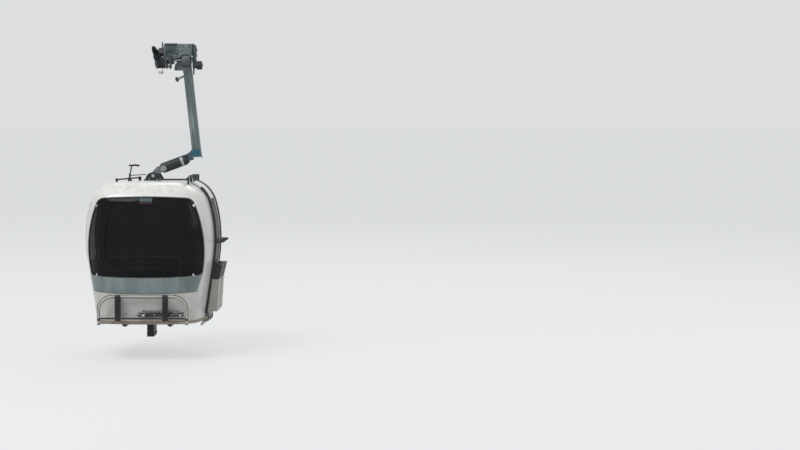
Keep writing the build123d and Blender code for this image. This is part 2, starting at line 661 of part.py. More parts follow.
with BuildPart() as fixed_jaw:
    block((-36, 104.5), JAW_SPAN, (JAW_GAP / 2, 58))
    block((-46, 30), JAW_SPAN, (22, 44))
    for rib_y in (-90, -30, 30, 90):
        block((-44, 104.5), (rib_y - 7, rib_y + 7), (JAW_GAP / 2, 66))
    add(rope_tongues.part)
    rod((0, -200, 0), (0, 200, 0), ROPE_RADIUS, Mode.SUBTRACT)
save(fixed_jaw.part, "fixed_jaw", ROPE_FRAME)

with BuildPart() as moving_jaw:
    block((-32, 60), JAW_SPAN, (-42, -JAW_GAP / 2))
    block((55, 75), (-60, 60), (-70, -30))
    for rib_y in (-90, -30, 30, 90):
        block((-38, 50), (rib_y - 7, rib_y + 7), (-52, -JAW_GAP / 2))
    rod((JAW_PIN[0], -60, JAW_PIN[1]), (JAW_PIN[0], 60, JAW_PIN[1]), 24)
    rod((0, -200, 0), (0, 200, 0), ROPE_RADIUS, Mode.SUBTRACT)
    rod((JAW_PIN[0], -200, JAW_PIN[1]), (JAW_PIN[0], 200, JAW_PIN[1]), 12 + RUNNING_GAP, Mode.SUBTRACT)
save(moving_jaw.part, "moving_jaw", ROPE_FRAME)

with BuildPart() as grip_housing:
    block((105, 300), (-95, 95), (-20, 138))
    block((105, 235), (-95, 95), (-85, -20))
    block((114, 290), (-86, 86), (138, 148))
    block((105, 300), (-102, 102), (46, 58))
    block((60, 130), (-95, 95), (-85, -16), Mode.SUBTRACT)
    for panel_y in (-96, 89):
        block((128, 278), (panel_y, panel_y + 7), (70, 126), Mode.SUBTRACT)
        block((150, 222), (panel_y, panel_y + 7), (-70, 30), Mode.SUBTRACT)
    for lug_y in (-95, 66):
        block((100, 131), (lug_y, lug_y + 29), (-85, -16))
        rod((JAW_PIN[0], lug_y, JAW_PIN[1]), (JAW_PIN[0], lug_y + 29, JAW_PIN[1]), 26)
    block((300, 545), (-80, 80), (75, 140))
    for rib_y in (-70, 0, 70):
        block((300, 520), (rib_y - 8, rib_y + 8), (140, 156))
    with BuildSketch(Plane.YZ.offset(500)):
        with BuildLine():
            Polyline((-80, 140), (80, 140), (80, 30), (SHAFT_Y + 42, WHEEL["z"]),
                     (SHAFT_Y - 42, WHEEL["z"]), (-80, 30), (-80, 140))
        make_face()
        with Locations((SHAFT_Y, WHEEL["z"])):
            Circle(42)
    extrude(amount=45)
    with BuildSketch(Plane.YZ.offset(508)):
        with BuildLine():
            Polyline((SHAFT_Y - 34, WHEEL["z"] - 20), (SHAFT_Y + 34, WHEEL["z"] - 20),
                     (SHAFT_Y + 8, -262), (SHAFT_Y - 14, -262), (SHAFT_Y - 34, WHEEL["z"] - 20))
        make_face()
    extrude(amount=18)
    block((505, 541), (56, LEVER_Y + 50), (-60, -44))
    for lug_y in (LEVER_Y - 50, LEVER_Y + 36):
        block((505, LEVER_PIN[0]), (lug_y, lug_y + 14), (-108, -44))
        rod((LEVER_PIN[0], lug_y, LEVER_PIN[1]), (LEVER_PIN[0], lug_y + 14, LEVER_PIN[1]), 18)
    rod((195, SHAFT_Y, SHAFT_Z), (560, SHAFT_Y, SHAFT_Z), SHAFT_RADIUS, Mode.SUBTRACT)
    rod((LEVER_PIN[0], 70, LEVER_PIN[1]), (LEVER_PIN[0], 300, LEVER_PIN[1]), 10, Mode.SUBTRACT)
    rod((JAW_PIN[0], -200, JAW_PIN[1]), (JAW_PIN[0], 200, JAW_PIN[1]), 12, Mode.SUBTRACT)
save(grip_housing.part, "grip_housing", ROPE_FRAME)

with BuildPart() as grip_pins:
    rod((JAW_PIN[0], -110, JAW_PIN[1]), (JAW_PIN[0], 110, JAW_PIN[1]), 12)
    rod((LEVER_PIN[0], LEVER_Y - 55, LEVER_PIN[1]), (LEVER_PIN[0], LEVER_Y + 55, LEVER_PIN[1]), 10)
save(grip_pins.part, "grip_pins", ROPE_FRAME)

with BuildPart() as grip_links:
    for rod_y in (-62, 62):
        rod((-8, rod_y, -128), (200, rod_y, -128), 10)
        rod((24, rod_y, -128), (112, rod_y, -128), 21)
    block((-14, 16), (-88, 88), (-152, -106))
    block((120, 152), (-88, 88), (-152, -85))
    block((188, 204), (-80, 80), (-146, -85))
    rod((205, -122, -24), (205, -95, -24), 22)
    block((194, 216), (-118, -102), (-215, -24))
    rod((205, -118, -215), (205, -102, -215), 11)
    block((28, 105), (-24, 24), (92, 116))
    rod((71, 0, 110), (71, 0, 205), 9)
    rod((94, 0, 110), (94, 0, 168), 8)
save(grip_links.part, "grip_links", ROPE_FRAME)

with BuildPart() as pivot_shaft:
    rod((195, SHAFT_Y, SHAFT_Z), (552, SHAFT_Y, SHAFT_Z), SHAFT_RADIUS)
    rod((545, SHAFT_Y, SHAFT_Z), (549, SHAFT_Y, SHAFT_Z), SHAFT_RADIUS + 8)
save(pivot_shaft.part, "pivot_shaft", ROPE_FRAME)

with BuildPart() as wheel_axle:
    rod((545, SHAFT_Y, WHEEL["z"]), (644, SHAFT_Y, WHEEL["z"]), 14)
    rod((638, SHAFT_Y, WHEEL["z"]), (644, SHAFT_Y, WHEEL["z"]), 24)
save(wheel_axle.part, "wheel_axle", ROPE_FRAME)

with BuildPart() as running_wheel:
    rod((WHEEL["x"][0], SHAFT_Y, WHEEL["z"]), (WHEEL["x"][1], SHAFT_Y, WHEEL["z"]), WHEEL["radius"])
    fillet(running_wheel.edges().filter_by(GeomType.CIRCLE), 12)
    rod((500, SHAFT_Y, WHEEL["z"]), (650, SHAFT_Y, WHEEL["z"]), 14 + RUNNING_GAP, Mode.SUBTRACT)
save(running_wheel.part, "running_wheel", ROPE_FRAME)

with BuildPart() as closing_lever:
    rod((LEVER_PIN[0], LEVER_Y - 28, LEVER_PIN[1]), (LEVER_PIN[0], LEVER_Y + 28, LEVER_PIN[1]), 17)
    for cheek_y in (LEVER_Y - 28, LEVER_Y + 20):
        block((LEVER_PIN[0], LEVER_ROLLER[0]), (cheek_y, cheek_y + 8), (-101, -79))
        rod((LEVER_ROLLER[0], cheek_y, LEVER_ROLLER[1]), (LEVER_ROLLER[0], cheek_y + 8, LEVER_ROLLER[1]), 11)
    rod((LEVER_ROLLER[0], LEVER_Y - 28, LEVER_ROLLER[1]),
        (LEVER_ROLLER[0], LEVER_Y + 28, LEVER_ROLLER[1]), 9)
    rod((LEVER_PIN[0], 70, LEVER_PIN[1]), (LEVER_PIN[0], 300, LEVER_PIN[1]), 10 + RUNNING_GAP,
        Mode.SUBTRACT)
save(closing_lever.part, "closing_lever", ROPE_FRAME)

with BuildPart() as lever_roller:
    rod((LEVER_ROLLER[0], LEVER_Y - 15, LEVER_ROLLER[1]),
        (LEVER_ROLLER[0], LEVER_Y + 15, LEVER_ROLLER[1]), 22)
    rod((LEVER_ROLLER[0], 70, LEVER_ROLLER[1]), (LEVER_ROLLER[0], 300, LEVER_ROLLER[1]),
        9 + RUNNING_GAP, Mode.SUBTRACT)
save(lever_roller.part, "lever_roller", ROPE_FRAME)
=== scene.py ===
"""Gondola lift cabin on its hanger and grip: materials and fine detail around the CAD frame."""
import json
import math

import bmesh
import bpy
from mathutils import Matrix, Vector
from mathutils.bvhtree import BVHTree


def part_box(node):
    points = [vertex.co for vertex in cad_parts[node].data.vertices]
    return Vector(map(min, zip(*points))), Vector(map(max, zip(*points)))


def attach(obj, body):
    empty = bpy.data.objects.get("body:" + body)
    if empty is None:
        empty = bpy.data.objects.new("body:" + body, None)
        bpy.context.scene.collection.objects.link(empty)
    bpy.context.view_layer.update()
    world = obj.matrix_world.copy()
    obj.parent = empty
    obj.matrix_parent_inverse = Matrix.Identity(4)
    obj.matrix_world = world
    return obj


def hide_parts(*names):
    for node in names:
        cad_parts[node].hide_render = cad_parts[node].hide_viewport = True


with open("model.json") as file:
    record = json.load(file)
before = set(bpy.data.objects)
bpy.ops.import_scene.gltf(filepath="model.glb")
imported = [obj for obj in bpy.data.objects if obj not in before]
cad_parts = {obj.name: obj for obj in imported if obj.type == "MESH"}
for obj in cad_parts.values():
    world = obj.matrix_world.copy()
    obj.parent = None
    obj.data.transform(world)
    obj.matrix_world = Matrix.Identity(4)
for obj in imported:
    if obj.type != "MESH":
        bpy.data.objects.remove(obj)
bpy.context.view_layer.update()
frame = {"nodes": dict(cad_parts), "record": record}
NODES = frame["nodes"]

# Camera: the photograph's view of the cabin, and where its middle falls in the photograph
IMAGE_WIDTH = 800
IMAGE_HEIGHT = 450
SENSOR_MM = 36.0
FOCAL_PIXELS = 1900.0
VIEW_AZIMUTH = math.radians(8.0)
VIEW_ELEVATION = math.radians(4.5)
VIEW_DISTANCE = 26.8
CABIN_MIDDLE = Vector((-0.092, 0.0, -2.70))
CABIN_PIXEL = (152.0, 250.0)
AIM_ROUNDS = 20
CLIP_END = 500.0

# Lean of the hanger tube from the vertical
TUBE_LEAN = math.atan2(0.074, 0.709)

# Studio
FLOOR_Z = -4.15
FLOOR_SIZE = 400.0
PALE = (0.72, 0.73, 0.74, 1.0)
AMBIENT = 0.56
FLOOR_ALBEDO = 0.25
FLOOR_LIFT = (0.565, 0.575, 0.585)
LAMP_TARGET = (0.0, 0.0, -2.4)

# Dirt on the cabin, with painted shade in the darkening towards the sill: where it starts and is full, by
# height, and its colours
SILL_GRIME_AND_SHADE = (-3.15, -3.62)
ROOF_GRIME = (-2.00, -1.76)
SOOT = (0.34, 0.345, 0.32)
RUST_SPECKS = (0.30, 0.24, 0.18)
ZINC = (0.125, 0.152, 0.152)


def aim_camera():
    """Places the camera and turns it, with no roll, until the cabin's middle is at its pixel."""
    back = Vector((math.sin(VIEW_AZIMUTH) * math.cos(VIEW_ELEVATION),
                   -math.cos(VIEW_AZIMUTH) * math.cos(VIEW_ELEVATION),
                   math.sin(VIEW_ELEVATION)))
    place = CABIN_MIDDLE + back * VIEW_DISTANCE
    heading = 0.0
    pitch = VIEW_ELEVATION
    for _ in range(AIM_ROUNDS):
        ahead = Vector((math.sin(heading) * math.cos(pitch), math.cos(heading) * math.cos(pitch),
                        -math.sin(pitch)))
        right = Vector((math.cos(heading), -math.sin(heading), 0.0))
        up = right.cross(ahead)
        to_middle = CABIN_MIDDLE - place
        depth = to_middle.dot(ahead)
        pixel_x = IMAGE_WIDTH / 2 + FOCAL_PIXELS * to_middle.dot(right) / depth
        pixel_y = IMAGE_HEIGHT / 2 - FOCAL_PIXELS * to_middle.dot(up) / depth
        heading -= (CABIN_PIXEL[0] - pixel_x) / FOCAL_PIXELS
        pitch += (pixel_y - CABIN_PIXEL[1]) / FOCAL_PIXELS
    data = bpy.data.cameras.new("camera")
    data.sensor_width = SENSOR_MM
    data.lens = FOCAL_PIXELS / IMAGE_WIDTH * SENSOR_MM
    data.clip_end = CLIP_END
    camera = bpy.data.objects.new("camera", data)
    bpy.context.scene.collection.objects.link(camera)
    camera.location = place
    camera.rotation_euler = (math.radians(90.0) - pitch, 0.0, -heading)
    bpy.context.scene.camera = camera


def area_light(name, place, target, size, irradiance):
    """A broad soft lamp aimed at a point, given by what it lays on a surface that faces it there."""
    data = bpy.data.lights.new(name, "AREA")
    data.shape = "RECTANGLE"
    data.size = size[0]
    data.size_y = size[1]
    reach = (Vector(target) - Vector(place)).length
    data.energy = irradiance * math.pi * math.pi * reach * reach
    lamp = bpy.data.objects.new(name, data)
    bpy.context.scene.collection.objects.link(lamp)
    lamp.location = place
    lamp.rotation_euler = (Vector(target) - Vector(place)).to_track_quat("-Z", "Y").to_euler()


def background_rays(tree):
    """A socket that is 1 for the rays that see the background: camera, glossy and transmission."""
    path = tree.nodes.new("ShaderNodeLightPath")
    seen = path.outputs["Is Camera Ray"]
    for name in ("Is Glossy Ray", "Is Transmission Ray"):
        either = tree.nodes.new("ShaderNodeMath")
        either.operation = "MAXIMUM"
        tree.links.new(seen, either.inputs[0])
        tree.links.new(path.outputs[name], either.inputs[1])
        seen = either.outputs[0]
    return seen


def build_studio():
    """Pale floor, pale surround and soft lamps."""
    bpy.context.scene.view_settings.view_transform = "Standard"
    world = bpy.data.worlds.new("studio")
    bpy.context.scene.world = world
    world.use_nodes = True
    tree = world.node_tree
    tree.nodes.clear()
    seen = tree.nodes.new("ShaderNodeBackground")
    seen.inputs["Color"].default_value = PALE
    ambient = tree.nodes.new("ShaderNodeBackground")
    ambient.inputs["Color"].default_value = (0.94, 0.97, 1.0, 1.0)
    ambient.inputs["Strength"].default_value = AMBIENT
    mix = tree.nodes.new("ShaderNodeMixShader")
    tree.links.new(background_rays(tree), mix.inputs["Fac"])
    tree.links.new(ambient.outputs[0], mix.inputs[1])
    tree.links.new(seen.outputs[0], mix.inputs[2])
    output = tree.nodes.new("ShaderNodeOutputWorld")
    tree.links.new(mix.outputs[0], output.inputs["Surface"])

    half = FLOOR_SIZE / 2
    mesh = bpy.data.meshes.new("floor")
    corners = [(-half, -half, FLOOR_Z), (half, -half, FLOOR_Z), (half, half, FLOOR_Z), (-half, half, FLOOR_Z)]
    mesh.from_pydata(corners, [], [(0, 1, 2, 3)])
    floor = bpy.data.objects.new("floor", mesh)
    bpy.context.scene.collection.objects.link(floor)
    material = bpy.data.materials.new("floor")
    material.use_nodes = True
    tree = material.node_tree
    shader = tree.nodes["Principled BSDF"]
    shader.inputs["Base Color"].default_value = (*[FLOOR_ALBEDO] * 3, 1.0)
    shader.inputs["Roughness"].default_value = 1.0
    shader.inputs["Specular IOR Level"].default_value = 0.0
    glow = tree.nodes.new("ShaderNodeEmission")
    glow.inputs["Color"].default_value = (*FLOOR_LIFT, 1.0)
    tree.links.new(background_rays(tree), glow.inputs["Strength"])
    both = tree.nodes.new("ShaderNodeAddShader")
    tree.links.new(shader.outputs[0], both.inputs[0])
    tree.links.new(glow.outputs[0], both.inputs[1])
    tree.links.new(both.outputs[0], tree.nodes["Material Output"].inputs["Surface"])
    mesh.materials.append(material)

    area_light("key", (-8.5, -11.0, 15.0), LAMP_TARGET, (12.0, 9.0), 0.50)
    area_light("fill", (16.0, -3.0, 4.0), LAMP_TARGET, (12.0, 10.0), 0.18)
    area_light("back", (4.0, 15.0, 12.0), LAMP_TARGET, (13.0, 8.0), 0.17)


class Finish:
    """A procedural material under construction: its shader and the textures that feed it."""

    def __init__(self, name):
        self.material = bpy.data.materials.new(name)
        self.material.use_nodes = True
        self.tree = self.material.node_tree
        self.shader = self.tree.nodes["Principled BSDF"]
        self.place = self.tree.nodes.new("ShaderNodeTexCoord").outputs["Object"]

    def node(self, kind, **values):
        """Adds a node and sets its named inputs or properties."""
        made = self.tree.nodes.new(kind)
        for key, value in values.items():
            if key in made.inputs:
                made.inputs[key].default_value = value
            else:
                setattr(made, key, value)
        return made

    def link(self, source, target):
        self.tree.links.new(source, target)

    def set(self, **values):
        """Sets uniform values on the shader's own sockets."""
        for key, value in values.items():
            self.shader.inputs[key.replace("_", " ")].default_value = value
        return self

    def stretched(self, scale):
        """Object coordinates scaled along each axis, in cycles per metre."""
        mapping = self.node("ShaderNodeMapping")
        mapping.inputs["Scale"].default_value = scale
        self.link(self.place, mapping.inputs["Vector"])
        return mapping.outputs["Vector"]

    def noise(self, scale, detail=4.0, stretch=(1.0, 1.0, 1.0), roughness=0.55):
        """Noise texture output between 0 and 1."""
        texture = self.node("ShaderNodeTexNoise", Detail=detail, Roughness=roughness)
        texture.inputs["Scale"].default_value = scale
        self.link(self.stretched(stretch), texture.inputs["Vector"])
        return texture.outputs["Fac"]

    def ramp(self, source, low, high, low_value=0.0, high_value=1.0):
        """Maps a value from one range to another, clamped."""
        mapped = self.node("ShaderNodeMapRange")
        mapped.inputs["From Min"].default_value = low
        mapped.inputs["From Max"].default_value = high
        mapped.inputs["To Min"].default_value = low_value
        mapped.inputs["To Max"].default_value = high_value
        self.link(source, mapped.inputs["Value"])
        return mapped.outputs["Result"]

    def height(self):
        """The Z coordinate of the surface point, in metres."""
        split = self.node("ShaderNodeSeparateXYZ")
        self.link(self.place, split.inputs["Vector"])
        return split.outputs["Z"]

    def math(self, operation, first, second):
        """One arithmetic step on two sources, each a socket or a number."""
        made = self.node("ShaderNodeMath", operation=operation)
        for index, source in enumerate((first, second)):
            if isinstance(source, (int, float)):
                made.inputs[index].default_value = source
            else:
                self.link(source, made.inputs[index])
        return made.outputs[0]

    def mix(self, factor, first, second):
        """Mixes two colours, each a socket or an RGB triple."""
        made = self.node("ShaderNodeMix", data_type="RGBA")
        self.link(factor, made.inputs["Factor"])
        for name, source in (("A", first), ("B", second)):
            socket = [s for s in made.inputs if s.name == name and s.type == "RGBA"][0]
            if isinstance(source, tuple):
                socket.default_value = (*source, 1.0)
            else:
                self.link(source, socket)
        return [s for s in made.outputs if s.type == "RGBA"][0]

    def colour(self, source):
        self.link(source, self.shader.inputs["Base Color"])
        return self

    def rough(self, source):
        self.link(source, self.shader.inputs["Roughness"])
        return self

    def bump(self, source, strength, distance):
        """Adds relief from a height source, on top of any relief already there."""
        made = self.node("ShaderNodeBump", Strength=strength, Distance=distance)
        self.link(source, made.inputs["Height"])
        earlier = self.shader.inputs["Normal"].links
        if earlier:
            self.link(earlier[0].from_socket, made.inputs["Normal"])
        self.link(made.outputs["Normal"], self.shader.inputs["Normal"])
        return self

    def patches(self, low, high, scale, detail, stretch=(1.0, 1.0, 1.0), roughness=0.55):
        """A mask of patches: noise, 0 under the low value and 1 over the high one."""
        return self.ramp(self.noise(scale, detail, stretch, roughness), low, high)

    def over(self, tone, mask, share, cover):
        """Lays a cover over a tone where the mask shows, up to a share."""
        return self.mix(self.math("MULTIPLY", mask, share), tone, cover)

    def sheen(self, scale, detail, low, high):
        """Roughness that wanders between two values."""
        return self.rough(self.ramp(self.noise(scale, detail), 0.3, 0.7, low, high))

    def grain(self, scale, detail, strength, distance):
        """Fine relief from noise."""
        return self.bump(self.noise(scale, detail), strength, distance)


def toned(base, factor, lift=0.0):
    """A colour made lighter or darker."""
    return tuple(channel * factor + lift for channel in base)


def cabin_paint(name, base, grime_and_shade, gloss=0.28):
    """Glossy coach paint with faint mottling, rain streaks, soot towards the roof edge, and a patchy
    darkening towards the sill that is part grimy soiling, part painted shade.
    """
    look = Finish(name)
    mottle = look.patches(0.35, 0.7, 3.0, 6.0)
    streaks = look.patches(0.54, 0.80, 1.0, 5.0, (16.0, 16.0, 0.7))
    # Patchy darkening towards the sill: part grimy soiling, part painted shade of the lower panel.
    sill_grime_and_shade = look.math("MULTIPLY", look.ramp(look.height(), *SILL_GRIME_AND_SHADE), look.patches(0.36, 0.70, 9.0, 7.0))
    sooty = look.math("MULTIPLY", look.ramp(look.height(), *ROOF_GRIME),
                      look.patches(0.48, 0.72, 8.0, 9.0, (1.0, 1.0, 2.0), 0.68))
    specks = look.patches(0.68, 0.76, 70.0, 6.0, roughness=0.7)
    tone = look.mix(mottle, base, toned(base, 0.93))
    for mask, share, cover in ((streaks, 0.30, grime_and_shade), (sill_grime_and_shade, 0.60, grime_and_shade), (sooty, 0.58, SOOT),
                               (specks, 0.55, RUST_SPECKS)):
        tone = look.over(tone, mask, share, cover)
    look.colour(tone).sheen(30.0, 3.0, gloss, gloss + 0.14).grain(420.0, 2.0, 0.10, 0.0006)
    return look.set(Coat_Weight=0.35, Coat_Roughness=0.12, IOR=1.5).material


def banded_paint(name, base):
    """Satin paint of a bare band, faded in stripes by the weather."""
    look = Finish(name)
    fade = look.patches(0.34, 0.72, 1.0, 6.0, (5.0, 5.0, 1.2))
    scratches = look.patches(0.60, 0.74, 1.0, 4.0, (3.0, 3.0, 160.0))
    tone = look.mix(fade, toned(base, 0.66), toned(base, 1.18))
    look.colour(look.over(tone, scratches, 0.22, (0.55, 0.58, 0.58)))
    return look.sheen(22.0, 4.0, 0.30, 0.46).grain(260.0, 3.0, 0.10, 0.0005).material


def rubber(name, base=(0.018, 0.019, 0.021)):
    """Matt black moulded rubber with dust in its grain."""
    look = Finish(name)
    look.colour(look.mix(look.patches(0.50, 0.84, 18.0, 8.0), base, toned(base, 2.6, 0.012)))
    return look.sheen(60.0, 3.0, 0.55, 0.8).grain(900.0, 2.0, 0.25, 0.0004).material


def glazing(name, cover, gloss_ior=1.24):
    """Tinted acrylic glazing with faint smears. The cover is the share of light that one face stops."""
    look = Finish(name)
    smear = look.patches(0.4, 0.75, 5.0, 6.0, (1.0, 1.0, 0.35))
    look.rough(look.ramp(smear, 0.0, 1.0, 0.03, 0.10))
    look.colour(look.mix(smear, (0.006, 0.007, 0.008), (0.010, 0.012, 0.014)))
    return look.set(Alpha=cover, IOR=gloss_ior).material


def galvanised(name, base=ZINC, shine=0.45, rust=0.5, lean=0.0):
    """Dull hot-dip zinc with spangle, long streaks and rust stains."""
    look = Finish(name)
    if lean:
        turned = look.node("ShaderNodeMapping")
        turned.inputs["Rotation"].default_value = (0.0, lean, 0.0)
        look.link(look.place, turned.inputs["Vector"])
        look.place = turned.outputs["Vector"]
    cells = look.node("ShaderNodeTexVoronoi", feature="F1")
    cells.inputs["Scale"].default_value = 52.0
    look.link(look.place, cells.inputs["Vector"])
    spangle = look.ramp(cells.outputs["Distance"], 0.0, 0.75)
    streaks = look.patches(0.40, 0.62, 1.0, 6.0, (60.0, 60.0, 1.1))
    pale = look.patches(0.52, 0.66, 1.0, 5.0, (34.0, 34.0, 1.6))
    stains = look.patches(0.57, 0.72, 4.5, 9.0, (1.0, 1.0, 0.4), 0.68)
    tone = look.mix(spangle, base, toned(base, 1.35))
    for mask, share, cover in ((streaks, 0.85, toned(base, 0.42)), (pale, 0.62, (0.36, 0.41, 0.41)),
                               (stains, rust, (0.13, 0.085, 0.055))):
        tone = look.over(tone, mask, share, cover)
    look.colour(tone).sheen(24.0, 4.0, 0.44, 0.66).grain(220.0, 3.0, 0.14, 0.0006)
    return look.set(Metallic=shine).material


def cast_metal(name, base=(0.135, 0.15, 0.148), rust=0.45):
    """Galvanised casting: coarse skin, darker in its low spots, stained with rust."""
    look = Finish(name)
    low_spots = look.patches(0.36, 0.68, 9.0, 8.0, roughness=0.65)
    stains = look.patches(0.55, 0.70, 15.0, 8.0, (1.0, 1.0, 0.5), 0.7)
    tone = look.mix(low_spots, toned(base, 1.3), toned(base, 0.55))
    look.colour(look.over(tone, stains, rust, (0.14, 0.10, 0.07)))
    return look.sheen(40.0, 4.0, 0.48, 0.74).grain(150.0, 6.0, 0.35, 0.0012).set(Metallic=0.35).material


def painted_steel(name, base, gloss=0.4, wear=(0.20, 0.13, 0.09), chip=0.6):
    """Painted steel with small chips, rubbed patches and run-down dirt."""
    look = Finish(name)
    chips = look.patches(0.66, 0.72, 34.0, 9.0, roughness=0.7)
    runs = look.patches(0.54, 0.78, 1.0, 6.0, (28.0, 28.0, 1.6))
    tone = look.mix(look.patches(0.4, 0.75, 6.0, 5.0), base, toned(base, 0.8))
    tone = look.over(tone, runs, 0.35, toned(base, 0.45, 0.02))
    look.colour(look.over(tone, chips, chip, wear))
    return look.sheen(30.0, 4.0, gloss, gloss + 0.2).grain(300.0, 3.0, 0.12, 0.0006).material


def bright_steel(name, base=(0.50, 0.51, 0.52)):
    """Turned and ground steel with fine marks and a little tarnish."""
    look = Finish(name)
    marks = look.noise(40.0, 5.0, (1.0, 14.0, 1.0))
    tone = look.mix(look.ramp(marks, 0.3, 0.7), base, toned(base, 0.75))
    look.colour(look.over(tone, look.patches(0.5, 0.75, 12.0, 7.0), 0.6, (0.24, 0.21, 0.18)))
    look.rough(look.ramp(marks, 0.3, 0.7, 0.24, 0.42)).bump(marks, 0.08, 0.0004)
    return look.set(Metallic=0.9).material


def moulded_plastic(name, base, grain=700.0):
    """Moulded plastic with a fine leathery grain."""
    look = Finish(name)
    look.colour(look.mix(look.patches(0.5, 0.8, 14.0, 8.0), base, toned(base, 1.5, 0.012)))
    return look.sheen(50.0, 3.0, 0.42, 0.62).grain(grain, 2.0, 0.2, 0.0005).material


def ribbed_mat(name):
    """Ribbed rubber floor mat."""
    look = Finish(name)
    wave = look.node("ShaderNodeTexWave", wave_type="BANDS", bands_direction="X")
    wave.inputs["Scale"].default_value = 26.0
    look.link(look.place, wave.inputs["Vector"])
    wet = look.patches(0.42, 0.7, 5.0, 6.0)
    look.colour(look.mix(wet, (0.09, 0.09, 0.095), (0.045, 0.045, 0.05)))
    return look.rough(look.ramp(wet, 0.0, 1.0, 0.75, 0.35)).bump(wave.outputs["Fac"], 0.6, 0.003).material


# Each look: the function that makes its material, and what the function is told
LOOKS = {
    # cabin and door: base colour, then the colour of the rain streaks and of the sill darkening, which is
    # part soiling, part painted shade
    "cabin": (cabin_paint, (0.80, 0.80, 0.755), (0.40, 0.38, 0.33)),
    "door": (cabin_paint, (0.76, 0.76, 0.73), (0.36, 0.34, 0.30), 0.34),
    "band": (banded_paint, (0.285, 0.345, 0.35)),
    "glass": (glazing, 0.67),
    "rear_glass": (glazing, 0.80),
    "side_glass": (glazing, 0.42, 1.32),
    "rubber": (rubber,),
    "black": (moulded_plastic, (0.016, 0.016, 0.018)),
    "bench": (moulded_plastic, (0.09, 0.10, 0.11)),
    "seat": (moulded_plastic, (0.05, 0.06, 0.075), 420.0),
    "pan": (painted_steel, (0.56, 0.50, 0.43), 0.5),
    "mat": (ribbed_mat,),
    "rail": (painted_steel, (0.42, 0.44, 0.43), 0.32),
    "rail_white": (painted_steel, (0.82, 0.83, 0.82), 0.3),
    "arm": (galvanised, (0.050, 0.092, 0.105), 0.3, 0.3),
    "housing_bolt": (bright_steel, (0.22, 0.23, 0.235)),
    "clamp": (painted_steel, (0.52, 0.54, 0.53), 0.42),
    "stub": (cast_metal, (0.30, 0.33, 0.33), 0.2),
    "hoop": (painted_steel, (0.52, 0.52, 0.48), 0.36, (0.16, 0.10, 0.07), 0.8),
    "ski_box": (painted_steel, (0.54, 0.52, 0.475), 0.45, (0.24, 0.16, 0.12), 0.5),
    "housing": (cast_metal, (0.040, 0.064, 0.071), 0.35),
    "cap": (painted_steel, (0.030, 0.058, 0.062), 0.38, (0.12, 0.13, 0.13), 0.7),
    "casting": (cast_metal, (0.120, 0.142, 0.145)),
    "link": (cast_metal, (0.26, 0.28, 0.285), 0.25),
    "zinc": (galvanised,),
    "tube_zinc": (galvanised, ZINC, 0.45, 0.5, TUBE_LEAN),
    "plate": (banded_paint, (0.022, 0.150, 0.205)),
    "patch": (painted_steel, (0.009, 0.052, 0.064), 0.35, (0.04, 0.10, 0.11), 0.4),
    "dark_steel": (painted_steel, (0.018, 0.026, 0.030), 0.35, (0.15, 0.10, 0.07), 0.7),
    "red_steel": (painted_steel, (0.070, 0.012, 0.012), 0.4),
    "steel": (bright_steel,),
    "pale_steel": (bright_steel, (0.72, 0.73, 0.73)),
    "tread": (rubber, (0.024, 0.026, 0.028)),
    "damper": (moulded_plastic, (0.014, 0.018, 0.020), 500.0),
    "pan_edge": (painted_steel, (0.44, 0.24, 0.13), 0.5, (0.30, 0.13, 0.07), 0.8),
}
MATERIALS = {name: make(name, *told) for name, (make, *told) in LOOKS.items()}

SLOT_MATERIALS = {
    "tinted_glass": "glass",
    "black_rubber": "rubber",
    "cabin_cream": "cabin",
    "door_frame": "door",
    "black_plastic": "black",
    "ski_box_grey": "ski_box",
    "bench_grey": "bench",
    "floor_beige": "pan",
    "floor_rubber": "mat",
    "rail_grey": "rail",
    "cast_grey": "casting",
    "housing_green": "housing",
    "galvanised": "zinc",
    "plate_blue": "plate",
    "roller_black": "tread",
    "black_steel": "dark_steel",
    "bright_steel": "steel",
}
NODE_MATERIALS = {
    "clevis_link": "link",
    "bumper_hoop_front": "hoop",
    "bumper_hoop_rear": "hoop",
    "hanger_tube": "tube_zinc",
    "guide_stub": "stub",
    "window_rail_front": "rail_white",
    "window_rail_rear": "rail_white",
    "rear_window": "rear_glass",
    "hanger_arm": "arm",
    "left_window": "side_glass",
    "door_glass_front": "side_glass",
    "door_glass_rear": "side_glass",
}


def dress_nodes():
    """Gives every CAD node the material of its record slot, or its own where NODE_MATERIALS names one."""
    slots = {entry["node"]: entry["material_slot"] for entry in frame["record"]["subparts"]}
    for name, node in NODES.items():
        material = MATERIALS[NODE_MATERIALS.get(name, SLOT_MATERIALS[slots[name]])]
        node.data.materials.clear()
        node.data.materials.append(material)


# The grip's own frame, the cabin's middle across, and its two ends with their sign
GRIP = Matrix.Rotation(math.radians(-18.0), 4, "X")
CABIN_X = -0.070
ENDS = (("front", 1.0), ("rear", -1.0))

# Where rays towards the cabin start, and edges sharper than this stay sharp
FAR = 3.0
SHARP = math.radians(32.0)

# How an edge is bevelled, and the steps in one turn of a coil
BEVEL = {"segments": 2, "profile": 0.6, "affect": "EDGES"}
COIL_STEPS = 14

# Planes and heights: the hoop's middle line, the latch bar and the top of the bench
HOOP_Y = -0.935
HOOP_TOP = -3.260
LATCH_Y = -0.884
BENCH_TOP = -3.0995

# Outline of a window clip
CLIP = [(-0.026, -0.008), (0.006, -0.008), (0.010, -0.020), (0.018, -0.020), (0.022, -0.008), (0.026, 0.0),
        (0.022, 0.008), (0.018, 0.020), (0.010, 0.020), (0.006, 0.008), (-0.026, 0.008)]

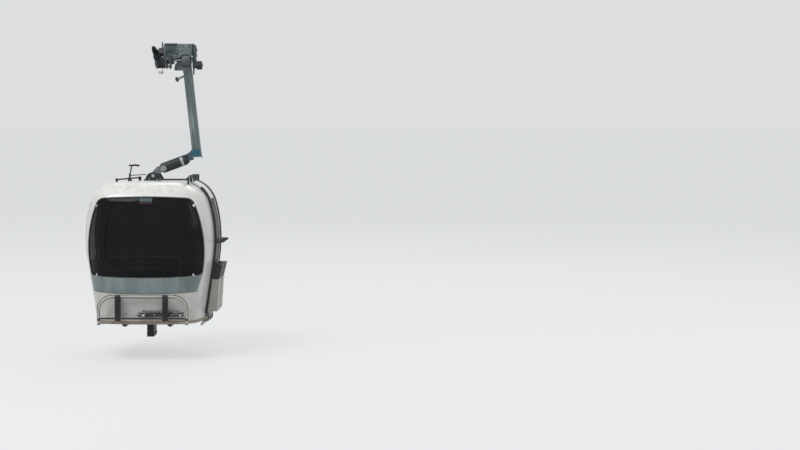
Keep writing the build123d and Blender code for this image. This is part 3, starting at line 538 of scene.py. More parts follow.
# Turned profiles that repeat: (distance along the axis, radius)
SHELL_RIVET = [(0.0, 0.0060), (0.002, 0.0055), (0.0034, 0.003), (0.0038, 0.0)]
PLATE_RIVET = [(0.0, 0.0048), (0.0012, 0.0046), (0.0022, 0.003), (0.0026, 0.0)]
LATCH_KNOB = [(0.0, 0.0), (0.0, 0.010), (0.003, 0.0135), (0.020, 0.0135), (0.023, 0.010)]


def spread(first, last, steps):
    """Evenly spaced values from the first to the last."""
    return [first + (last - first) * k / steps for k in range(steps + 1)]


def mirrored(side):
    """The frame of the near end, or its mirror image for the far end."""
    return Matrix.Diagonal((1.0, side, 1.0, 1.0))


def smooth_path(points, steps=8):
    """A smooth line through the points, as a denser list of points."""
    places = [Vector(point) for point in points]
    if len(places) < 3:
        return places
    padded = [places[0] * 2 - places[1]] + places + [places[-1] * 2 - places[-2]]
    dense = []
    for a, b, c, d in zip(padded, padded[1:], padded[2:], padded[3:]):
        for step in range(steps):
            t = step / steps
            dense.append(0.5 * ((2 * b) + (c - a) * t + (2 * a - 5 * b + 4 * c - d) * t * t
                                + (3 * b - a - 3 * c + d) * t * t * t))
    return dense + [places[-1]]


class Piece:
    """One visible piece under construction: forms are added in its own frame, then it is dressed."""

    def __init__(self, name, body, material, slot, frame_matrix=None):
        self.name = name
        self.body = body
        self.material = material
        self.slot = slot
        self.frame = frame_matrix or Matrix.Identity(4)
        self.bm = bmesh.new()

    def take(self, form):
        """Merges a form into the piece and frees it."""
        places = {vert: self.bm.verts.new(self.frame @ vert.co) for vert in form.verts}
        for face in form.faces:
            self.bm.faces.new([places[vert] for vert in face.verts])
        form.free()
        return self

    def block(self, low, high, bevel=0.002):
        """A box with rounded edges."""
        form = bmesh.new()
        bmesh.ops.create_cube(form, size=1.0)
        for vert in form.verts:
            vert.co = Vector([low[i] if vert.co[i] < 0 else high[i] for i in range(3)])
        if bevel:
            bmesh.ops.bevel(form, geom=form.edges[:], offset=bevel, **BEVEL)
        return self.take(form)

    def prism(self, outline, plane, span, bevel=0.002):
        """An extruded outline with rounded edges. The plane is XY, XZ or YZ, the span runs across it."""
        order = {"XY": (0, 1, 2), "XZ": (0, 2, 1), "YZ": (1, 2, 0)}[plane]

        def place(point, depth):
            spot = [0.0, 0.0, 0.0]
            spot[order[0]], spot[order[1]], spot[order[2]] = point[0], point[1], depth
            return spot

        form = bmesh.new()
        lower = [form.verts.new(place(point, span[0])) for point in outline]
        upper = [form.verts.new(place(point, span[1])) for point in outline]
        form.faces.new(lower)
        form.faces.new(upper[::-1])
        for i in range(len(outline)):
            j = (i + 1) % len(outline)
            form.faces.new((lower[i], upper[i], upper[j], lower[j]))
        bmesh.ops.recalc_face_normals(form, faces=form.faces[:])
        if bevel:
            bmesh.ops.bevel(form, geom=form.edges[:], offset=bevel, clamp_overlap=True, **BEVEL)
        return self.take(form)

    def lathe(self, profile, start, axis, sides=28):
        """A turned form: the profile lists (distance along the axis, radius)."""
        axis = Vector(axis).normalized()
        across = axis.orthogonal().normalized()
        other = axis.cross(across)
        start = Vector(start)
        form = bmesh.new()
        rings = []
        for along, radius in profile:
            middle = start + axis * along
            if radius <= 0.0:
                rings.append([form.verts.new(middle)])
                continue
            ring = []
            for k in range(sides):
                angle = 2 * math.pi * (k + 0.5) / sides
                ring.append(form.verts.new(middle + across * (radius * math.cos(angle))
                                           + other * (radius * math.sin(angle))))
            rings.append(ring)
        for first, second in zip(rings, rings[1:]):
            for k in range(sides):
                m = (k + 1) % sides
                if len(first) == 1 and len(second) > 1:
                    form.faces.new((first[0], second[k], second[m]))
                elif len(second) == 1 and len(first) > 1:
                    form.faces.new((first[k], second[0], first[m]))
                elif len(first) > 1:
                    form.faces.new((first[k], second[k], second[m], first[m]))
        for ring in (rings[0], rings[-1]):
            if len(ring) > 1:
                form.faces.new(ring)
        return self.take(form)

    def tube(self, points, radius, sides=12, steps=6):
        """A round bar along a smooth line through the points."""
        path = smooth_path(points, steps)
        form = bmesh.new()
        ahead = (path[1] - path[0]).normalized()
        across = ahead.orthogonal().normalized()
        rings = []
        for i, spot in enumerate(path):
            ahead = (path[min(i + 1, len(path) - 1)] - path[max(i - 1, 0)]).normalized()
            across = (across - ahead * across.dot(ahead)).normalized()
            other = ahead.cross(across)
            rings.append([form.verts.new(spot + (across * math.cos(2 * math.pi * k / sides)
                                                 + other * math.sin(2 * math.pi * k / sides)) * radius)
                          for k in range(sides)])
        for first, second in zip(rings, rings[1:]):
            for k in range(sides):
                m = (k + 1) % sides
                form.faces.new((first[k], second[k], second[m], first[m]))
        form.faces.new(rings[0][::-1])
        form.faces.new(rings[-1])
        return self.take(form)

    def bolt(self, place, axis, size, washer=True):
        """A hexagon bolt head on its washer. The size is the width across the head's corners."""
        place = Vector(place)
        axis = Vector(axis).normalized()
        half = size / 2
        if washer:
            self.lathe([(0.0, half * 1.35), (size * 0.10, half * 1.35), (size * 0.12, half * 1.2)],
                       place, axis, 20)
        base = size * 0.12 if washer else 0.0
        self.lathe([(base, half), (base + size * 0.40, half), (base + size * 0.47, half * 0.84)],
                   place, axis, 6)
        return self.lathe([(base, half * 0.45), (base + size * 0.52, half * 0.45),
                           (base + size * 0.56, half * 0.34)], place, axis, 12)

    def spring(self, start, end, radius, wire, turns):
        """A coil spring between two points."""
        start, end = Vector(start), Vector(end)
        axis = (end - start).normalized()
        across = axis.orthogonal().normalized()
        other = axis.cross(across)
        count = int(turns * COIL_STEPS)
        path = [start + (end - start) * (k / count)
                + across * (radius * math.cos(2 * math.pi * turns * k / count))
                + other * (radius * math.sin(2 * math.pi * turns * k / count)) for k in range(count + 1)]
        return self.tube(path, wire, 6, 1)

    def done(self, *nodes):
        """Turns the forms into an object that rides on its body, and hides the nodes it stands for."""
        bmesh.ops.recalc_face_normals(self.bm, faces=self.bm.faces[:])
        mesh = bpy.data.meshes.new(self.name)
        self.bm.to_mesh(mesh)
        self.bm.free()
        mesh.polygons.foreach_set("use_smooth", [True] * len(mesh.polygons))
        mesh.set_sharp_from_angle(angle=SHARP)
        made = bpy.data.objects.new(self.name, mesh)
        bpy.context.scene.collection.objects.link(made)
        mesh.materials.append(MATERIALS[self.material])
        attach(made, self.body)
        if nodes:
            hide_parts(*nodes)
        return made


class Skin:
    """The outer surface of some CAD nodes, for pieces that lie on it."""

    def __init__(self, *names):
        verts, faces = [], []
        for name in names:
            mesh = NODES[name].data
            start = len(verts)
            verts.extend(vert.co.copy() for vert in mesh.vertices)
            faces.extend([start + k for k in polygon.vertices] for polygon in mesh.polygons)
        self.tree = BVHTree.FromPolygons(verts, faces)

    def touch(self, origin, direction):
        """Where a ray from the origin first meets the surface, and the normal that faces the ray."""
        direction = Vector(direction).normalized()
        spot, normal, _, _ = self.tree.ray_cast(Vector(origin), direction)
        if spot is None:
            return None, None
        return spot, (-normal if normal.dot(direction) > 0 else normal)

    def trace(self, origins, direction, lift):
        """A line a little proud of the surface, where rays from the origins meet it."""
        met = [self.touch(origin, direction) for origin in origins]
        return [spot + normal * lift for spot, normal in met if spot is not None]


def sheet_on(piece, skin, rays, lift, thickness):
    """A thin sheet over a skin. The rays are rows of (origin, direction), all of the same length."""
    form = bmesh.new()
    top, low = [], []
    for row in rays:
        upper, lower = [], []
        for origin, direction in row:
            spot, normal = skin.touch(origin, direction)
            if spot is None:
                raise RuntimeError("a ray of %s misses its skin at %s" % (piece.name, origin))
            upper.append(form.verts.new(spot + normal * (lift + thickness)))
            lower.append(form.verts.new(spot + normal * lift))
        top.append(upper)
        low.append(lower)
    rows, columns = len(top), len(top[0])
    for r in range(rows - 1):
        for c in range(columns - 1):
            form.faces.new((top[r][c], top[r][c + 1], top[r + 1][c + 1], top[r + 1][c]))
            form.faces.new((low[r][c], low[r + 1][c], low[r + 1][c + 1], low[r][c + 1]))
    rim = ([(0, c) for c in range(columns)] + [(r, columns - 1) for r in range(1, rows)]
           + [(rows - 1, c) for c in range(columns - 2, -1, -1)] + [(r, 0) for r in range(rows - 2, 0, -1)])
    for (r0, c0), (r1, c1) in zip(rim, rim[1:] + rim[:1]):
        form.faces.new((top[r0][c0], low[r0][c0], low[r1][c1], top[r1][c1]))
    return piece.take(form)


def window_low(skin, x, side):
    """Height just under the end window's opening, found by feeling up the shell from below it."""
    top, last, step = -3.100, -2.932, 0.002
    while top < last:
        spot, _ = skin.touch((x, -FAR * side, top + step), (0.0, side, 0.0))
        if spot is None or abs(spot.y) < 0.40:
            break
        top += step
    return top


def band_foot(x):
    """Height of the band's lower edge, a shallow arc."""
    return -3.224 + 0.022 * ((x - CABIN_X) / 0.70) ** 2


def glass_sheet(name, end, side, material, low, high, rows, thickness):
    """A blank sheet on the end window, between two heights."""
    sheet = Piece(name + end, "cabin", material, "plate_blue")
    rays = [[((x, -FAR * side, z), (0.0, side, 0.0)) for x in spread(-0.131, 0.040, 10)]
            for z in spread(low, high, rows)]
    sheet_on(sheet, Skin(end + "_window"), rays, 0.0003, thickness)
    sheet.done()


def cabin_ends():
    """Bare band with its trim, blank patch and strip in the window, and clips of both end shells."""
    for end, side in ENDS:
        skin = Skin(end + "_shell")
        band = Piece("band_" + end, "cabin", "band", "cabin_cream")
        rays = []
        for v in spread(0.0, 1.0, 8):
            left = CABIN_X - 0.737 - 0.032 * v
            right = CABIN_X + 0.690 + 0.082 * v
            row = []
            for u in spread(0.0, 1.0, 90):
                x = left + (right - left) * u
                low = band_foot(x)
                top = window_low(skin, CABIN_X - 0.769 + 1.541 * u, side) - 0.004
                row.append(((x, -FAR * side, low + (top - low) * v), (0.0, side, 0.0)))
            rays.append(row)
        sheet_on(band, skin, rays, 0.0003, 0.0012)
        band.done()

        trim = Piece("band_trim_" + end, "cabin", "dark_steel", "black_rubber")
        origins = [(x, -FAR * side, band_foot(x) - 0.0025)
                   for x in spread(CABIN_X - 0.737, CABIN_X + 0.690, 60)]
        trim.tube(skin.trace(origins, (0.0, side, 0.0), 0.001), 0.0024, 6, 1)
        spot, normal = skin.touch((-0.092, -FAR * side, -3.247), (0.0, side, 0.0))
        trim.lathe([(0.0, 0.009), (0.003, 0.0085), (0.005, 0.005), (0.0055, 0.0)], spot, normal, 14)
        trim.done()

        glass_sheet("window_patch_", end, side, "patch", -1.979, -1.927, 3, 0.0015)
        glass_sheet("window_strip_", end, side, "red_steel", -2.000, -1.990, 1, 0.001)

        rim = Skin(end + "_gasket")
        clips = Piece("window_clips_" + end, "cabin", "pale_steel", "bright_steel")
        for x, z, lean in ((-0.741, -2.029, 1), (0.636, -2.012, -1),
                           (-0.781, -2.965, 1), (0.625, -2.950, -1)):
            spot, normal = nearest(rim, (x, -0.86 * side, z))
            across = Vector((lean * 0.75, 0.0, -0.65 if z > -2.4 else 0.65)).normalized()
            across = (across - normal * across.dot(normal)).normalized()
            clips.frame = Matrix((across, normal.cross(across), normal)).transposed().to_4x4()
            clips.frame.translation = spot
            clips.prism(CLIP, "XY", (0.0005, 0.0045), 0.001)
            for shift in (-0.012, 0.014):
                clips.bolt((shift, 0.0, 0.0045), (0, 0, 1), 0.012)
        clips.done()


def nearest(skin, place):
    """The closest point of a skin and the normal that faces the place."""
    spot, normal, _, _ = skin.tree.find_nearest(Vector(place))
    if normal.dot(Vector(place) - spot) < 0:
        normal = -normal
    return spot, normal


def bend(middle, reach, start, stop):
    """Points (x, z) round an upper corner of the bumper hoop, between two angles in degrees."""
    angles = [math.radians(angle) for angle in spread(start, stop, 12)[1:-1]]
    return [(middle + reach * math.cos(a), -3.438 + reach * math.sin(a)) for a in angles]


def bumpers():
    """Ribbed rubber straps, hoop fittings, thin dark strips along the hoop's edges as painted shade, rubber
    sleeves low on the hoop, and the latch bar with its fittings and springs.
    """
    for end, side in ENDS:
        at_end = mirrored(side)
        straps = Piece("straps_" + end, "cabin", "rubber", "black_rubber", at_end)
        plates = Piece("strap_plates_" + end, "cabin", "dark_steel", "black_steel", at_end)
        for x in (-0.431, 0.211):
            outline = [(-0.905, -3.588), (-0.968, -3.588)]
            for z in spread(-3.580, -3.280, 24):
                outline += [(-0.9735, z + 0.0025), (-0.9735, z + 0.0085), (-0.9695, z + 0.0105)]
            outline += [(-0.972, -3.262), (-0.966, -3.245), (-0.950, -3.2375), (-0.925, -3.2375),
                        (-0.909, -3.244), (-0.905, -3.262)]
            straps.prism(outline, "YZ", (x - 0.036, x + 0.036), 0.0015)
            for z in (-3.553, -3.292):
                plates.block((x - 0.030, -0.9750, z - 0.012), (x + 0.030, -0.9700, z + 0.012), 0.0010)
                for shift in (-0.018, 0.018):
                    plates.bolt((x + shift, -0.9750, z), (0, -1, 0), 0.0064, False)
        straps.done("bumper_straps_" + end)
        plates.done()

        fittings = Piece("hoop_fittings_" + end, "cabin", "dark_steel", "black_steel", at_end)
        for x in (-0.694, 0.502):
            fittings.lathe([(0.0, 0.0185), (0.001, 0.0205), (0.026, 0.0205), (0.028, 0.0185)],
                           (x, HOOP_Y, -3.585), (0, 0, 1), 24)
            fittings.lathe([(0.0, 0.0), (0.0, 0.017), (0.004, 0.0195), (0.012, 0.0195), (0.013, 0.018)],
                           (x, HOOP_Y, -3.643), (0, 0, 1), 24)
            fittings.bolt((x + (0.165 if x < 0 else -0.165), -0.782, -3.630), (0, 0, -1), 0.024)
        for x in (-0.530, -0.330, 0.110, 0.330):
            fittings.lathe([(0.0, 0.0095), (0.001, 0.012), (0.016, 0.012), (0.017, 0.0095)],
                           (x, HOOP_Y, -3.556), (1, 0, 0), 16)
        fittings.done()

        shade_strips_and_sleeves = Piece("hoop_shade_strips_and_sleeves_" + end, "cabin", "rubber", "black_rubber", at_end)
        # Two thin dark strips along the hoop's outer and inner edges: painted shade lines on the hoop, made
        # as rubber.
        for grow in (0.0175, -0.0175):
            left, right, reach = -0.694 - grow, 0.502 + grow, 0.178 + grow
            line = [(left, -3.560), (left, -3.440)] + bend(-0.516, reach, 180, 90)
            line += [(x, HOOP_TOP + grow) for x in (-0.510, -0.300, 0.100, 0.318)]
            line += bend(0.324, reach, 90, 0) + [(right, -3.440), (right, -3.560)]
            shade_strips_and_sleeves.tube([(x, HOOP_Y, z) for x, z in line], 0.0045, 8, 3)
        for start, stop in ((-0.676, -0.474), (-0.388, 0.168), (0.254, 0.484)):
            shade_strips_and_sleeves.tube([(x, HOOP_Y, -3.556) for x in spread(start, stop, 2)], 0.0118, 12, 1)
        shade_strips_and_sleeves.done()

    bar = Piece("latch_bar", "cabin", "link", "black_steel")
    bar.tube([(x, LATCH_Y, -3.456) for x in (-0.096, 0.140, 0.379)], 0.0095, 14, 2)
    for x, inward in ((-0.104, 1), (0.387, -1)):
        bar.lathe(LATCH_KNOB, (x, LATCH_Y, -3.456), (inward, 0, 0), 18)
    for x in (-0.072, 0.150, 0.352):
        bar.block((x - 0.008, -0.893, -3.500), (x + 0.008, -0.875, -3.444), 0.002)
    bar.done()
    latch = Piece("latch_fittings", "cabin", "steel", "bright_steel")
    for x in (-0.140, 0.060, 0.290, 0.430):
        latch.bolt((x, -0.892, -3.507), (0, -1, 0), 0.014)
    for x, radius, length in ((0.395, 0.0175, 0.027), (-0.112, 0.018, 0.038)):
        shoulder = 0.003 if x > 0 else 0.004
        latch.lathe([(0.0, 0.0135), (0.002, radius), (length - shoulder, radius), (length, 0.0135)],
                    (x, -0.882, -3.522), (1, 0, 0), 20)
    latch.tube([(-0.110, LATCH_Y, -3.490), (-0.125, -0.905, -3.478), (-0.150, -0.913, -3.470),
                (-0.178, -0.915, -3.472)], 0.006, 10)
    latch.done()
    coil = Piece("latch_spring", "cabin", "dark_steel", "black_steel")
    coil.spring((0.080, -0.882, -3.490), (0.272, -0.882, -3.490), 0.0115, 0.0022, 22)
    coil.spring((-0.060, -0.882, -3.522), (0.040, -0.882, -3.522), 0.0165, 0.0024, 9)
    coil.done()


def bolt_on(piece, skin, origin, direction, size, washer=True):
    """A bolt head where a ray in the piece's own frame meets a skin."""
    turn = piece.frame.to_3x3()
    spot, normal = skin.touch(piece.frame @ Vector(origin), turn @ Vector(direction))
    if spot is not None:
        back = piece.frame.inverted()
        piece.bolt(back @ spot, back.to_3x3() @ normal, size, washer)


def ring_outline(centre, inner, outer, start, stop, steps=18):
    """Outline of a ring sector between two angles in degrees."""
    angles = [math.radians(start + (stop - start) * k / steps) for k in range(steps + 1)]
    far = [(centre[0] + outer * math.cos(a), centre[1] + outer * math.sin(a)) for a in angles]
    near = [(centre[0] + inner * math.cos(a), centre[1] + inner * math.sin(a)) for a in reversed(angles)]
    return far + near


def grip_details():
    """Cast covers, lid, bolts, springs and feelers of the grip."""
    housing = Skin("grip_housing")
    jaw = Skin("fixed_jaw")
    pins = Skin("grip_pins")

    covers = Piece("head_covers", "grip", "casting", "cast_grey", GRIP)
    for inner, outer, low in ((-0.098, -0.108, -0.058), (0.1290, 0.1390, 0.030)):
        near, far = sorted((inner, outer))
        out = 1 if outer > inner else -1
        outline = [(0.300, 0.146), (0.300, low), (0.312, low - 0.010), (0.334, low), (0.346, low + 0.026),
                   (0.372, max(low + 0.040, -0.018)), (0.412, max(low + 0.046, -0.012)),
                   (0.452, max(low + 0.040, -0.018)), (0.478, low + 0.022), (0.494, low + 0.024),
                   (0.498, low + 0.036), (0.498, 0.138), (0.490, 0.146)]
        covers.prism(outline, "XZ", (near, far), 0.003)
        seat = sorted((out * 0.078, inner))
        covers.block((0.306, seat[0], 0.082), (0.492, seat[1], 0.138), 0.003)
        proud = sorted((outer, outer + out * 0.007))
        if out < 0:
            covers.prism(ring_outline((0.412, 0.004), 0.062, 0.073, 4, 176), "XZ", proud, 0.002)
        for x in (0.312, 0.486):
            covers.block((x - 0.004, proud[0], max(low, -0.010)), (x + 0.004, proud[1], 0.136), 0.002)
        covers.block((0.306, proud[0], 0.098), (0.492, proud[1], 0.105), 0.002)
        for x in (0.328, 0.372, 0.452, 0.474):
            covers.bolt((x, outer, 0.122), (0, out, 0), 0.017)
        if out < 0:
            covers.prism([(0.228, -0.018), (0.228, -0.064), (0.240, -0.072), (0.288, -0.070),
                          (0.306, -0.062), (0.306, -0.018)], "XZ", (near, far), 0.003)
            covers.prism(ring_outline((0.266, -0.058), 0.020, 0.028, 0, 180, 12), "XZ", proud, 0.0015)
    covers.block((0.304, -0.104, 0.140), (0.494, 0.135, 0.1475), 0.003)
    for x in (0.330, 0.400, 0.470):
        for y in (-0.045, 0.045):
            covers.bolt((x, y, 0.1475), (0, 0, 1), 0.020)
    covers.done()

    lid = Piece("housing_lid", "grip", "cap", "housing_green", GRIP)
    lid.prism([(0.108, -0.086), (0.118, -0.094), (0.286, -0.094), (0.296, -0.086),
               (0.296, 0.086), (0.286, 0.094), (0.118, 0.094), (0.108, 0.086)], "XY", (0.1475, 0.1555), 0.003)
    for x in (0.150, 0.205, 0.255):
        lid.block((x - 0.005, -0.086, 0.1545), (x + 0.005, 0.086, 0.1625), 0.002)
    for y, out in ((-0.0955, -1), (0.0955, 1)):
        side = sorted((y, y + out * 0.005))
        lid.block((0.110, side[0], 0.132), (0.296, side[1], 0.142), 0.002)
        lid.block((0.110, side[0], -0.012), (0.140, side[1], 0.060), 0.002)
        lid.block((0.266, side[0], -0.010), (0.296, side[1], 0.044), 0.002)
    lid.done()
    fixings = Piece("housing_bolts", "grip", "housing_bolt", "bright_steel", GRIP)
    for side in (-1, 1):
        for x, z in ((0.120, 0.118), (0.288, 0.118), (0.1245, 0.046), (0.1245, 0.002), (0.281, 0.034),
                     (0.120, 0.080), (0.288, 0.080)):
            bolt_on(fixings, housing, (x, 0.4 * side, z), (0, -side, 0), 0.012)
        for x, z in ((0.160, -0.058), (0.212, -0.058)):
            bolt_on(fixings, housing, (x, 0.4 * side, z), (0, -side, 0), 0.015)
        for x in (0.124, 0.178, 0.230, 0.280):
            fixings.bolt((x, side * 0.080, 0.1555), (0, 0, 1), 0.014)
    for y in (-0.055, 0.0, 0.055):
        bolt_on(fixings, jaw, (0.020, y, 0.4), (0, 0, -1), 0.020)
        bolt_on(fixings, jaw, (0.074, y * 1.2, 0.4), (0, 0, -1), 0.016)
    for x, z in ((0.092, -0.052), (0.545, -0.090)):
        for side in (-1, 1):
            bolt_on(fixings, pins, (x, 0.5 * side, z), (0, -side, 0), 0.018)
    for z in (0.100, 0.020, -0.060):
        for y in (0.040, -0.040):
            bolt_on(fixings, housing, (0.9, y, z), (-1, 0, 0), 0.018)
    fixings.done()

    springs = Piece("rod_springs", "grip", "dark_steel", "black_steel", GRIP)
    for y in (-0.062, 0.062):
        springs.spring((0.028, y, -0.128), (0.108, y, -0.128), 0.0245, 0.0036, 6.5)
        for x in (0.022, 0.108):
            springs.lathe([(0.0, 0.020), (0.0, 0.029), (0.005, 0.029), (0.005, 0.020)], (x, y, -0.128),
                          (1, 0, 0), 22)
        for x in (-0.010, 0.128):
            springs.lathe([(0.0, 0.015), (0.010, 0.015), (0.012, 0.012)], (x, y, -0.128), (1, 0, 0), 6)
    springs.done()

    feelers = Piece("rope_feelers", "grip", "dark_steel", "black_steel", GRIP)
    for hold in (0.034, 0.030, 0.026, 0.023):
        spot, _ = jaw.touch(GRIP @ Vector((hold, 0.353, -0.5)), GRIP.to_3x3() @ Vector((0, 0, 1)))
        if spot is not None:
            top = (GRIP.inverted() @ spot).z
            feelers.tube([(hold, 0.353, z) for z in (top + 0.004, (top - 0.118) / 2, -0.118)], 0.0038, 8, 1)
            feelers.lathe([(0.0, 0.0075), (0.004, 0.0075), (0.005, 0.006)], (hold, 0.353, top - 0.004),
                          (0, 0, -1), 6)
            for x, y, z in ((-0.030, 0.345, -0.112), (-0.020, 0.361, -0.126)):
                feelers.tube([(x, y, z), (0.046, y, z)], 0.0042, 10, 1)
            feelers.block((hold - 0.005, 0.340, -0.131), (hold + 0.006, 0.366, -0.107), 0.001)
            break
    feelers.done()


def middle_of(name):
    """The middle of a CAD node's box."""
    low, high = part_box(name)
    return (Vector(low) + Vector(high)) / 2


def rollers():
    """Tyres, hubs and bolt rings of the wheels, each on its own turning body."""
    start = middle_of("running_wheel")
    start.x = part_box("running_wheel")[0][0]
    tyre = Piece("running_wheel_tyre", "running_wheel", "tread", "roller_black")
    tyre.lathe([(0.004, 0.030), (0.004, 0.052), (0.006, 0.0575), (0.012, 0.0605), (0.024, 0.0618),
                (0.038, 0.0592), (0.042, 0.0592), (0.056, 0.0618), (0.068, 0.0605), (0.074, 0.0575),
                (0.076, 0.052), (0.076, 0.030)], start, (1, 0, 0), 48)
    tyre.done("running_wheel")
    hub = Piece("running_wheel_hub", "running_wheel", "casting", "cast_grey")
    for face, out in ((0.076, 1), (0.004, -1)):
        face_start = start + Vector((face, 0, 0))
        hub.lathe([(-0.006, 0.047), (0.0015, 0.047), (0.0025, 0.0455), (0.0025, 0.041), (-0.001, 0.038),
                   (-0.001, 0.026), (0.003, 0.023), (0.0035, 0.0165), (-0.006, 0.0165)],
                  face_start, (out, 0, 0), 36)
        for k in range(6):
            angle = math.radians(60 * k + 15)
            hub.bolt(face_start + Vector((out * -0.001, 0.032 * math.cos(angle), 0.032 * math.sin(angle))),
                     (out, 0, 0), 0.010, False)
    hub.done()

    stub_angle = math.radians(26)
    axis = Vector((-math.cos(stub_angle), 0, -math.sin(stub_angle)))
    start = middle_of("guide_roller") - axis * 0.013
    roller = Piece("guide_roller_tyre", "guide_roller", "tread", "roller_black")
    roller.lathe([(0.000, 0.014), (0.000, 0.029), (0.002, 0.0335), (0.006, 0.0355), (0.020, 0.0355),
                  (0.024, 0.0335), (0.026, 0.029), (0.026, 0.014)], start, axis, 40)
    roller.done("guide_roller")
    cap = Piece("guide_roller_cap", "guide_roller", "pale_steel", "bright_steel")
    cap.lathe([(0.022, 0.022), (0.027, 0.022), (0.0285, 0.019), (0.0285, 0.012), (0.0275, 0.010),
               (0.0275, 0.0)], start, axis, 28)
    cap.done()

    axis = GRIP.to_3x3() @ Vector((0, 1, 0))
    width = 0.030
    roller = Piece("lever_roller_rim", "lever_roller", "steel", "bright_steel")
    roller.lathe([(0.0, 0.008), (0.0, 0.018), (0.002, 0.0205), (0.004, 0.0218), (width - 0.004, 0.0218),
                  (width - 0.002, 0.0205), (width, 0.018), (width, 0.008)],
                 middle_of("lever_roller") - axis * width / 2, axis, 36)
    roller.done("lever_roller")


def hanger_details():
    """Weld seams, plate rivets, damper, clevis and linkage fittings, and bracket bolts of the hanger."""
    tube_skin = Skin("hanger_tube", "hanger_arm", "hanger_head")
    welds = Piece("weld_seams", "cabin", "zinc", "galvanised")

    def bead(points, radius):
        wobble = [point + Vector((0, 0, 0.0006 * math.sin(2.6 * k))) for k, point in enumerate(points)]
        welds.tube(wobble, radius, 8, 2)

    for side in (-1, 1):
        start, inward = 0.4 * side, (0, -side, 0)
        leaning = zip(spread(0.462, 0.536, 12), spread(-0.330, -1.039, 12))
        bead(tube_skin.trace([(x, start, z) for x, z in leaning], inward, 0.0005), 0.0022)
        bead(tube_skin.trace([(x, start, -0.2615) for x in spread(0.382, 0.490, 14)], inward, 0.001), 0.0042)
        foot = zip(spread(0.480, 0.602, 12), spread(-1.275, -1.285, 12))
        bead(tube_skin.trace([(x, start, z) for x, z in foot], inward, 0.0005), 0.0036)
    welds.done()

    rivets = Piece("plate_rivets", "cabin", "steel", "bright_steel")
    for x in (0.491, 0.592):
        for z in (-1.298, -1.388):
            rivets.lathe(PLATE_RIVET, (x, -0.064, z), (0, -1, 0), 14)
    rivets.done()

    start, end = Vector((0.040, 0.0, -1.566)), Vector((0.435, 0.0, -1.422))
    axis = (end - start).normalized()
    reach = (end - start).length
    damper = Piece("damper_tube", "cabin", "damper", "black_rubber")
    damper.lathe([(0.0, 0.0), (0.0, 0.040), (0.006, 0.052), (0.018, 0.063), (0.036, 0.0700), (0.060, 0.0720),
                  (0.118, 0.0720), (0.121, 0.0695), (0.126, 0.0695), (0.129, 0.0720), (0.252, 0.0715),
                  (0.256, 0.0690), (0.262, 0.0690), (0.268, 0.0710), (0.345, 0.0710), (0.372, 0.0680),
                  (0.398, 0.0600), (reach - 0.004, 0.0480), (reach, 0.040), (reach, 0.0)], start, axis, 44)
    damper.done("damper_body")
    rings = Piece("damper_rings", "cabin", "clamp", "bright_steel")
    rings.lathe([(0.306, 0.0695), (0.306, 0.0725), (0.308, 0.0735), (0.340, 0.0735), (0.342, 0.0725),
                 (0.342, 0.0695)], start, axis, 44)
    rings.done()
    clamps = Piece("damper_clamps", "cabin", "dark_steel", "black_steel")
    for along in (0.140, 0.215):
        clamps.lathe([(along, 0.070), (along, 0.0738), (along + 0.010, 0.0738), (along + 0.010, 0.070)],
                     start, axis, 40)
    for along in (0.145, 0.220, 0.324):
        clamps.bolt(start + axis * along - Vector((0, 0.0725, 0)), (0, -1, 0), 0.012)
    clamps.done()

    link = Piece("clevis_fittings", "cabin", "link", "cast_grey")
    link_skin = Skin("clevis_link")
    for side in (-1, 1):
        spot, _ = link_skin.touch((0.085, 0.5 * side, -1.560), (0, -side, 0))
        link.lathe([(0.0, 0.042), (0.002, 0.042), (0.004, 0.040), (0.004, 0.031), (0.001, 0.029),
                    (0.001, 0.020), (0.006, 0.018), (0.008, 0.012), (0.008, 0.0)],
                   (0.085, spot.y, -1.560), (0, side, 0), 36)
    link.done()
    bracket = Skin("roof_bracket")
    bolts = Piece("bracket_bolts", "cabin", "steel", "bright_steel")
    for side in (-1, 1):
        spot, _ = bracket.touch((-0.055, 0.5 * side, -1.662), (0, -side, 0))
        bolts.lathe([(0.0, 0.024), (0.003, 0.024), (0.004, 0.022)], spot, (0, side, 0), 24)
        bolts.bolt(spot + Vector((0, 0.004 * side, 0)), (0, side, 0), 0.034, False)
        for x in (-0.168, -0.110, 0.000, 0.044):
            bolt_on(bolts, bracket, (x, 0.100 * side, -1.5), (0, 0, -1), 0.022)
    bolts.done()

    linkage = Piece("linkage_fittings", "cabin", "red_steel", "black_steel")
    linkage.lathe([(0.0, 0.0), (0.0, 0.011), (0.004, 0.0145), (0.020, 0.0155), (0.034, 0.013), (0.038, 0.0)],
                  (-0.268, -0.175, -1.512), (1, 0, 0), 20)
    linkage.lathe([(0.0, 0.0), (0.0, 0.009), (0.006, 0.012), (0.016, 0.012), (0.020, 0.0)],
                  (-0.362, -0.175, -1.512), (-1, 0, 0), 18)
    linkage.done()


